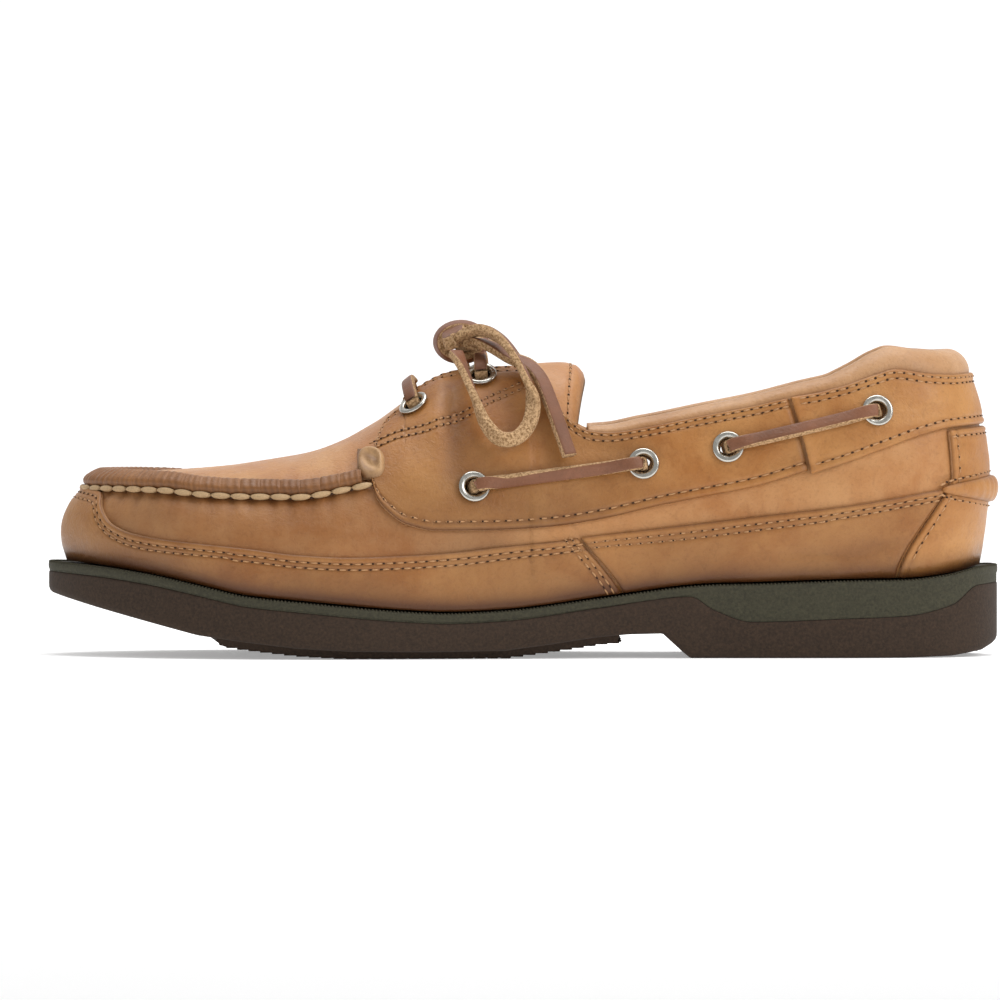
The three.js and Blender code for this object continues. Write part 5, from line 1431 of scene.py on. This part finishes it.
def make_tongue():
    s = np.linspace(place_for(TONGUE_REAR + TONGUE_LIP), place_for(TONGUE_FRONT), 90)
    wide = at_half(1, s, TONGUE_HALF)
    deep = at_height(1, s, TONGUE_DROP * INSTEP_HEIGHT)
    low = np.minimum(wide, np.maximum(deep, wide - 0.2))
    t = np.linspace(0, 1, 36)
    half = low[:, None] + (1 - low)[:, None] * t
    w = np.concatenate([half, half[:, -2::-1]], 1)
    sd = np.concatenate([np.ones(len(t)), -np.ones(len(t) - 1)])[None, :] + 0 * w
    ss = s[:, None] + 0 * w
    under = -WALL - TONGUE_GAP
    edge = np.minimum(np.arange(len(s))[:, None] * 0.75, 60) + 0 * w
    bead = 0.35 * np.exp(-((edge - 1.2) / 0.9) ** 2) - 0.3 * np.exp(-((edge - 2.8) / 0.6) ** 2)
    turned_in = 1.8 * np.exp(-edge / 7) + 4.2 * np.exp(-edge / 1.8)
    out = under + bead + 0.25 * np.sin(ss * 90) * np.sin(w * 9) - turned_in
    # painted shade at the tongue's turned-in rear edge and in the groove behind its bead, painted highlight
    # on the bead
    tone = 0.06 + 0.4 * np.exp(-edge / 1.0) - bead
    inner = lifted(sd, ss, w, under - TONGUE_THICK - turned_in)
    piece = solid_between("tongue_sheet", lifted(sd, ss, w, out), inner, [PLUG, EDGE], np.clip(tone, 0, 1), 1)
    finish(piece, "plug_leather", "tongue")
    sewn("tongue", [lifted(sd, ss, w, out + 0.1)[4, 2:-2]])


# The sole

def level_ring(profile_of, columns):
    """Grids of a sole's layer: profile_of gives distances in from the outline and heights."""
    steps = np.linspace(0, 1, columns)
    side = np.concatenate([np.ones(columns), -np.ones(columns - 2)])
    s = np.concatenate([steps, steps[1:-1][::-1]])
    x, y, dx, dy, reach = cut(side, s, "x", "y", "dx", "dy", "reach")
    far, height = profile_of(reach, dx)
    px, py = x[:, None] + dx[:, None] * far, y[:, None] + dy[:, None] * far
    return np.stack([px, py, height(px / LENGTH)], -1)


def ring_solid(name, grid, slots):
    columns, rows = grid.shape[:2]
    faces = grid_faces(columns, rows, 0, True)
    return weld(link_mesh(name, shifted(grid.reshape(-1, 3)), faces, slots, tone=np.zeros(columns * rows)))


def layer(name, slots, rows, columns=260):
    """A sole layer from rows of (inner share or None, distance in from the outline, line, rise)."""
    def profile(reach, dx):
        far = [reach * share if share is not None else reach - inset for share, inset, _, _ in rows]

        def height(along):
            lines = [line(along[:, i]) + rise for i, (_, _, line, rise) in enumerate(rows)]
            return np.stack(lines, 1)

        return np.stack(far, 1), height

    return ring_solid(name, level_ring(profile, columns), slots)


def make_midsole():
    """The grey-green layer: a soft-cornered wall under a small lip."""
    lip = -WELT_HEIGHT
    rows = (
        (0.0, 0, sole_border, 0), (0.5, 0, sole_border, 0), (None, 2, sole_border, 0),
        (None, 0.5, sole_border, -0.25), (None, 0.28, sole_border, -0.2), (None, 0.28, sole_border, 0.4),
        (None, 0.28, sole_top, lip - 0.3), (None, 0.22, sole_top, lip), (None, 0.02, sole_top, lip + 0.35),
        (None, 0, sole_top, -1.2), (None, 0.05, sole_top, -0.75), (None, 0.3, sole_top, -0.4),
        (None, 2.2, sole_top, -0.3), (0.5, 0, sole_top, 0), (0.0, 0, sole_top, 0),
    )
    finish(layer("midsole_rubber_layer", [GREY_RUBBER], rows), "midsole_rubber", "midsole")


def sole_low(along):
    """The lower edge of the sole's side."""
    rise = np.where(SOLE_BOTTOM["of"] == "toe", TOE_LIFT, SIDE_HEIGHT) * SOLE_BOTTOM["low"]
    return np.interp(along, SOLE_BOTTOM["along"], rise.astype(float))


def tread_low(along):
    pad = (along > 0.4) & (along < 0.82)
    return np.where(pad, np.maximum(sole_low(along) - TREAD_DEPTH, 0), sole_low(along)) + SIPE_DEPTH


def make_outsole():
    """The brown unit with its rounded corner, forefoot pad and heel; the tread's bars stand on it."""
    rows = (
        (0.0, 0, tread_low, 0), (0.5, 0, tread_low, 0), (None, TREAD_INSET, tread_low, 0),
        (None, TREAD_INSET - 0.4, sole_low, SIPE_DEPTH), (None, 2.6, sole_low, 0.0),
        (None, 1.3, sole_low, 0.15), (None, 0.55, sole_low, 0.6), (None, 0.15, sole_low, 1.5),
        (None, 0.1, sole_low, 2.6), (None, 0.12, sole_border, -1.2), (None, 0.2, sole_border, -0.5),
        (None, 0.5, sole_border, -0.3), (None, 2, sole_border, -0.35), (0.5, 0, sole_border, -0.35),
        (0.0, 0, sole_border, -0.35),
    )
    finish(layer("outsole_rubber_unit", [BROWN_RUBBER], rows, 420), "outsole_rubber", "outsole")
    make_tread_bars()


def make_tread_bars():
    """Wavy bars across the forefoot's pad and the heel, short enough to stay inside the outline."""
    verts, faces = [], []
    y = np.linspace(-1, 1, 44)
    last_ring = 4 * (len(y) - 1)
    for first, last in ((0.405, 0.812), (0.03, 0.318)):
        for x0 in np.arange(first * LENGTH, last * LENGTH, BAR_PITCH):
            lean = float(-smooth(LAST, "lean", x0 / LENGTH) * BALL_WIDTH)
            ends = reach_of(x0 + np.array([-2.0, -2, 0, 0, 2, 2]), np.full(6, lean), np.zeros(6),
                            np.tile([1.0, -1.0], 3))
            lateral, medial = [ends[i::2].min() - TREAD_INSET - 1.5 for i in (0, 1)]
            across = lean + y * np.where(y > 0, lateral, medial)
            x = x0 + 1.1 * np.sin(across / 3.2)
            base = tread_low(x / LENGTH)
            ring = [(x - BAR_FOOT, base + 0.1), (x - BAR_TOP, base - SIPE_DEPTH),
                    (x + BAR_TOP, base - SIPE_DEPTH), (x + BAR_FOOT, base + 0.1)]
            start = len(verts) * 4 * len(y)
            verts.append(np.stack([np.stack([px, across, pz], -1) for px, pz in ring], 1).reshape(-1, 3))
            for i in range(start, start + last_ring, 4):
                faces += [[i + k, i + j, i + 4 + j, i + 4 + k] for k, j in ((0, 1), (1, 2), (2, 3), (3, 0))]
            faces += [[start + k for k in (0, 1, 2, 3)], [start + last_ring + k for k in (3, 2, 1, 0)]]
    bars = np.vstack(verts)
    bars[:, 2] = np.maximum(bars[:, 2], 0)
    piece = link_mesh("tread_bars", shifted(bars), faces, [BROWN_RUBBER], tone=np.zeros(len(bars)))
    finish(weld(piece), "outsole_rubber")


def make_welt_ribs():
    """Small teeth round the lip's upper edge."""
    s = np.linspace(0, 1, 700)
    lines = []
    for side in (1, -1):
        x, y, dx, dy, reach = cut(side, s, "x", "y", "dx", "dy", "reach")
        far = reach - 0.75
        px, py = x + dx * far, y + dy * far
        lines.append(np.stack([px, py, sole_top(px / LENGTH) - 0.35], -1))
    whole = np.vstack([lines[0], lines[1][::-1][1:]])
    along_lines("welt_ribs", [resampled(whole, 0.4)], RIB_PITCH, RIB_PITCH * 0.66, 1.5, 0.95,
                GREY_RUBBER, "midsole_rubber")


def make_insole():
    shape = ((0.0, 0), (0.9, 0), (1.0, 0.6), (1.0, INSOLE_THICK), (0.985, INSOLE_THICK + 0.5),
             (0.95, INSOLE_THICK), (0.5, INSOLE_THICK * 0.9), (0.0, INSOLE_THICK * 0.8))

    def profile(reach, dx):
        edge = EDGE_SIDE + (EDGE_END - EDGE_SIDE) * np.abs(dx)
        far = (reach - edge - WALL - SKIN_GAP)[:, None] * np.array([f for f, _ in shape])

        def height(along):
            return sole_top(along) + SKIN_GAP + np.array([z for _, z in shape])

        return far, height

    finish(ring_solid("sock_lining", level_ring(profile, 120), [LINING]), "insole_leather", "insole")


make_camera()
make_bow()
make_stage()
make_eyelets()
tool = drill()
make_upper(tool)
make_bands(tool)
make_rear_strip(tool)
bpy.data.objects.remove(tool)
make_foxing()
make_heel()
make_collar()
make_ridge()
make_tongue()
make_outsole()
make_midsole()
make_welt_ribs()
make_insole()
make_side_runs()
make_throat_bars()
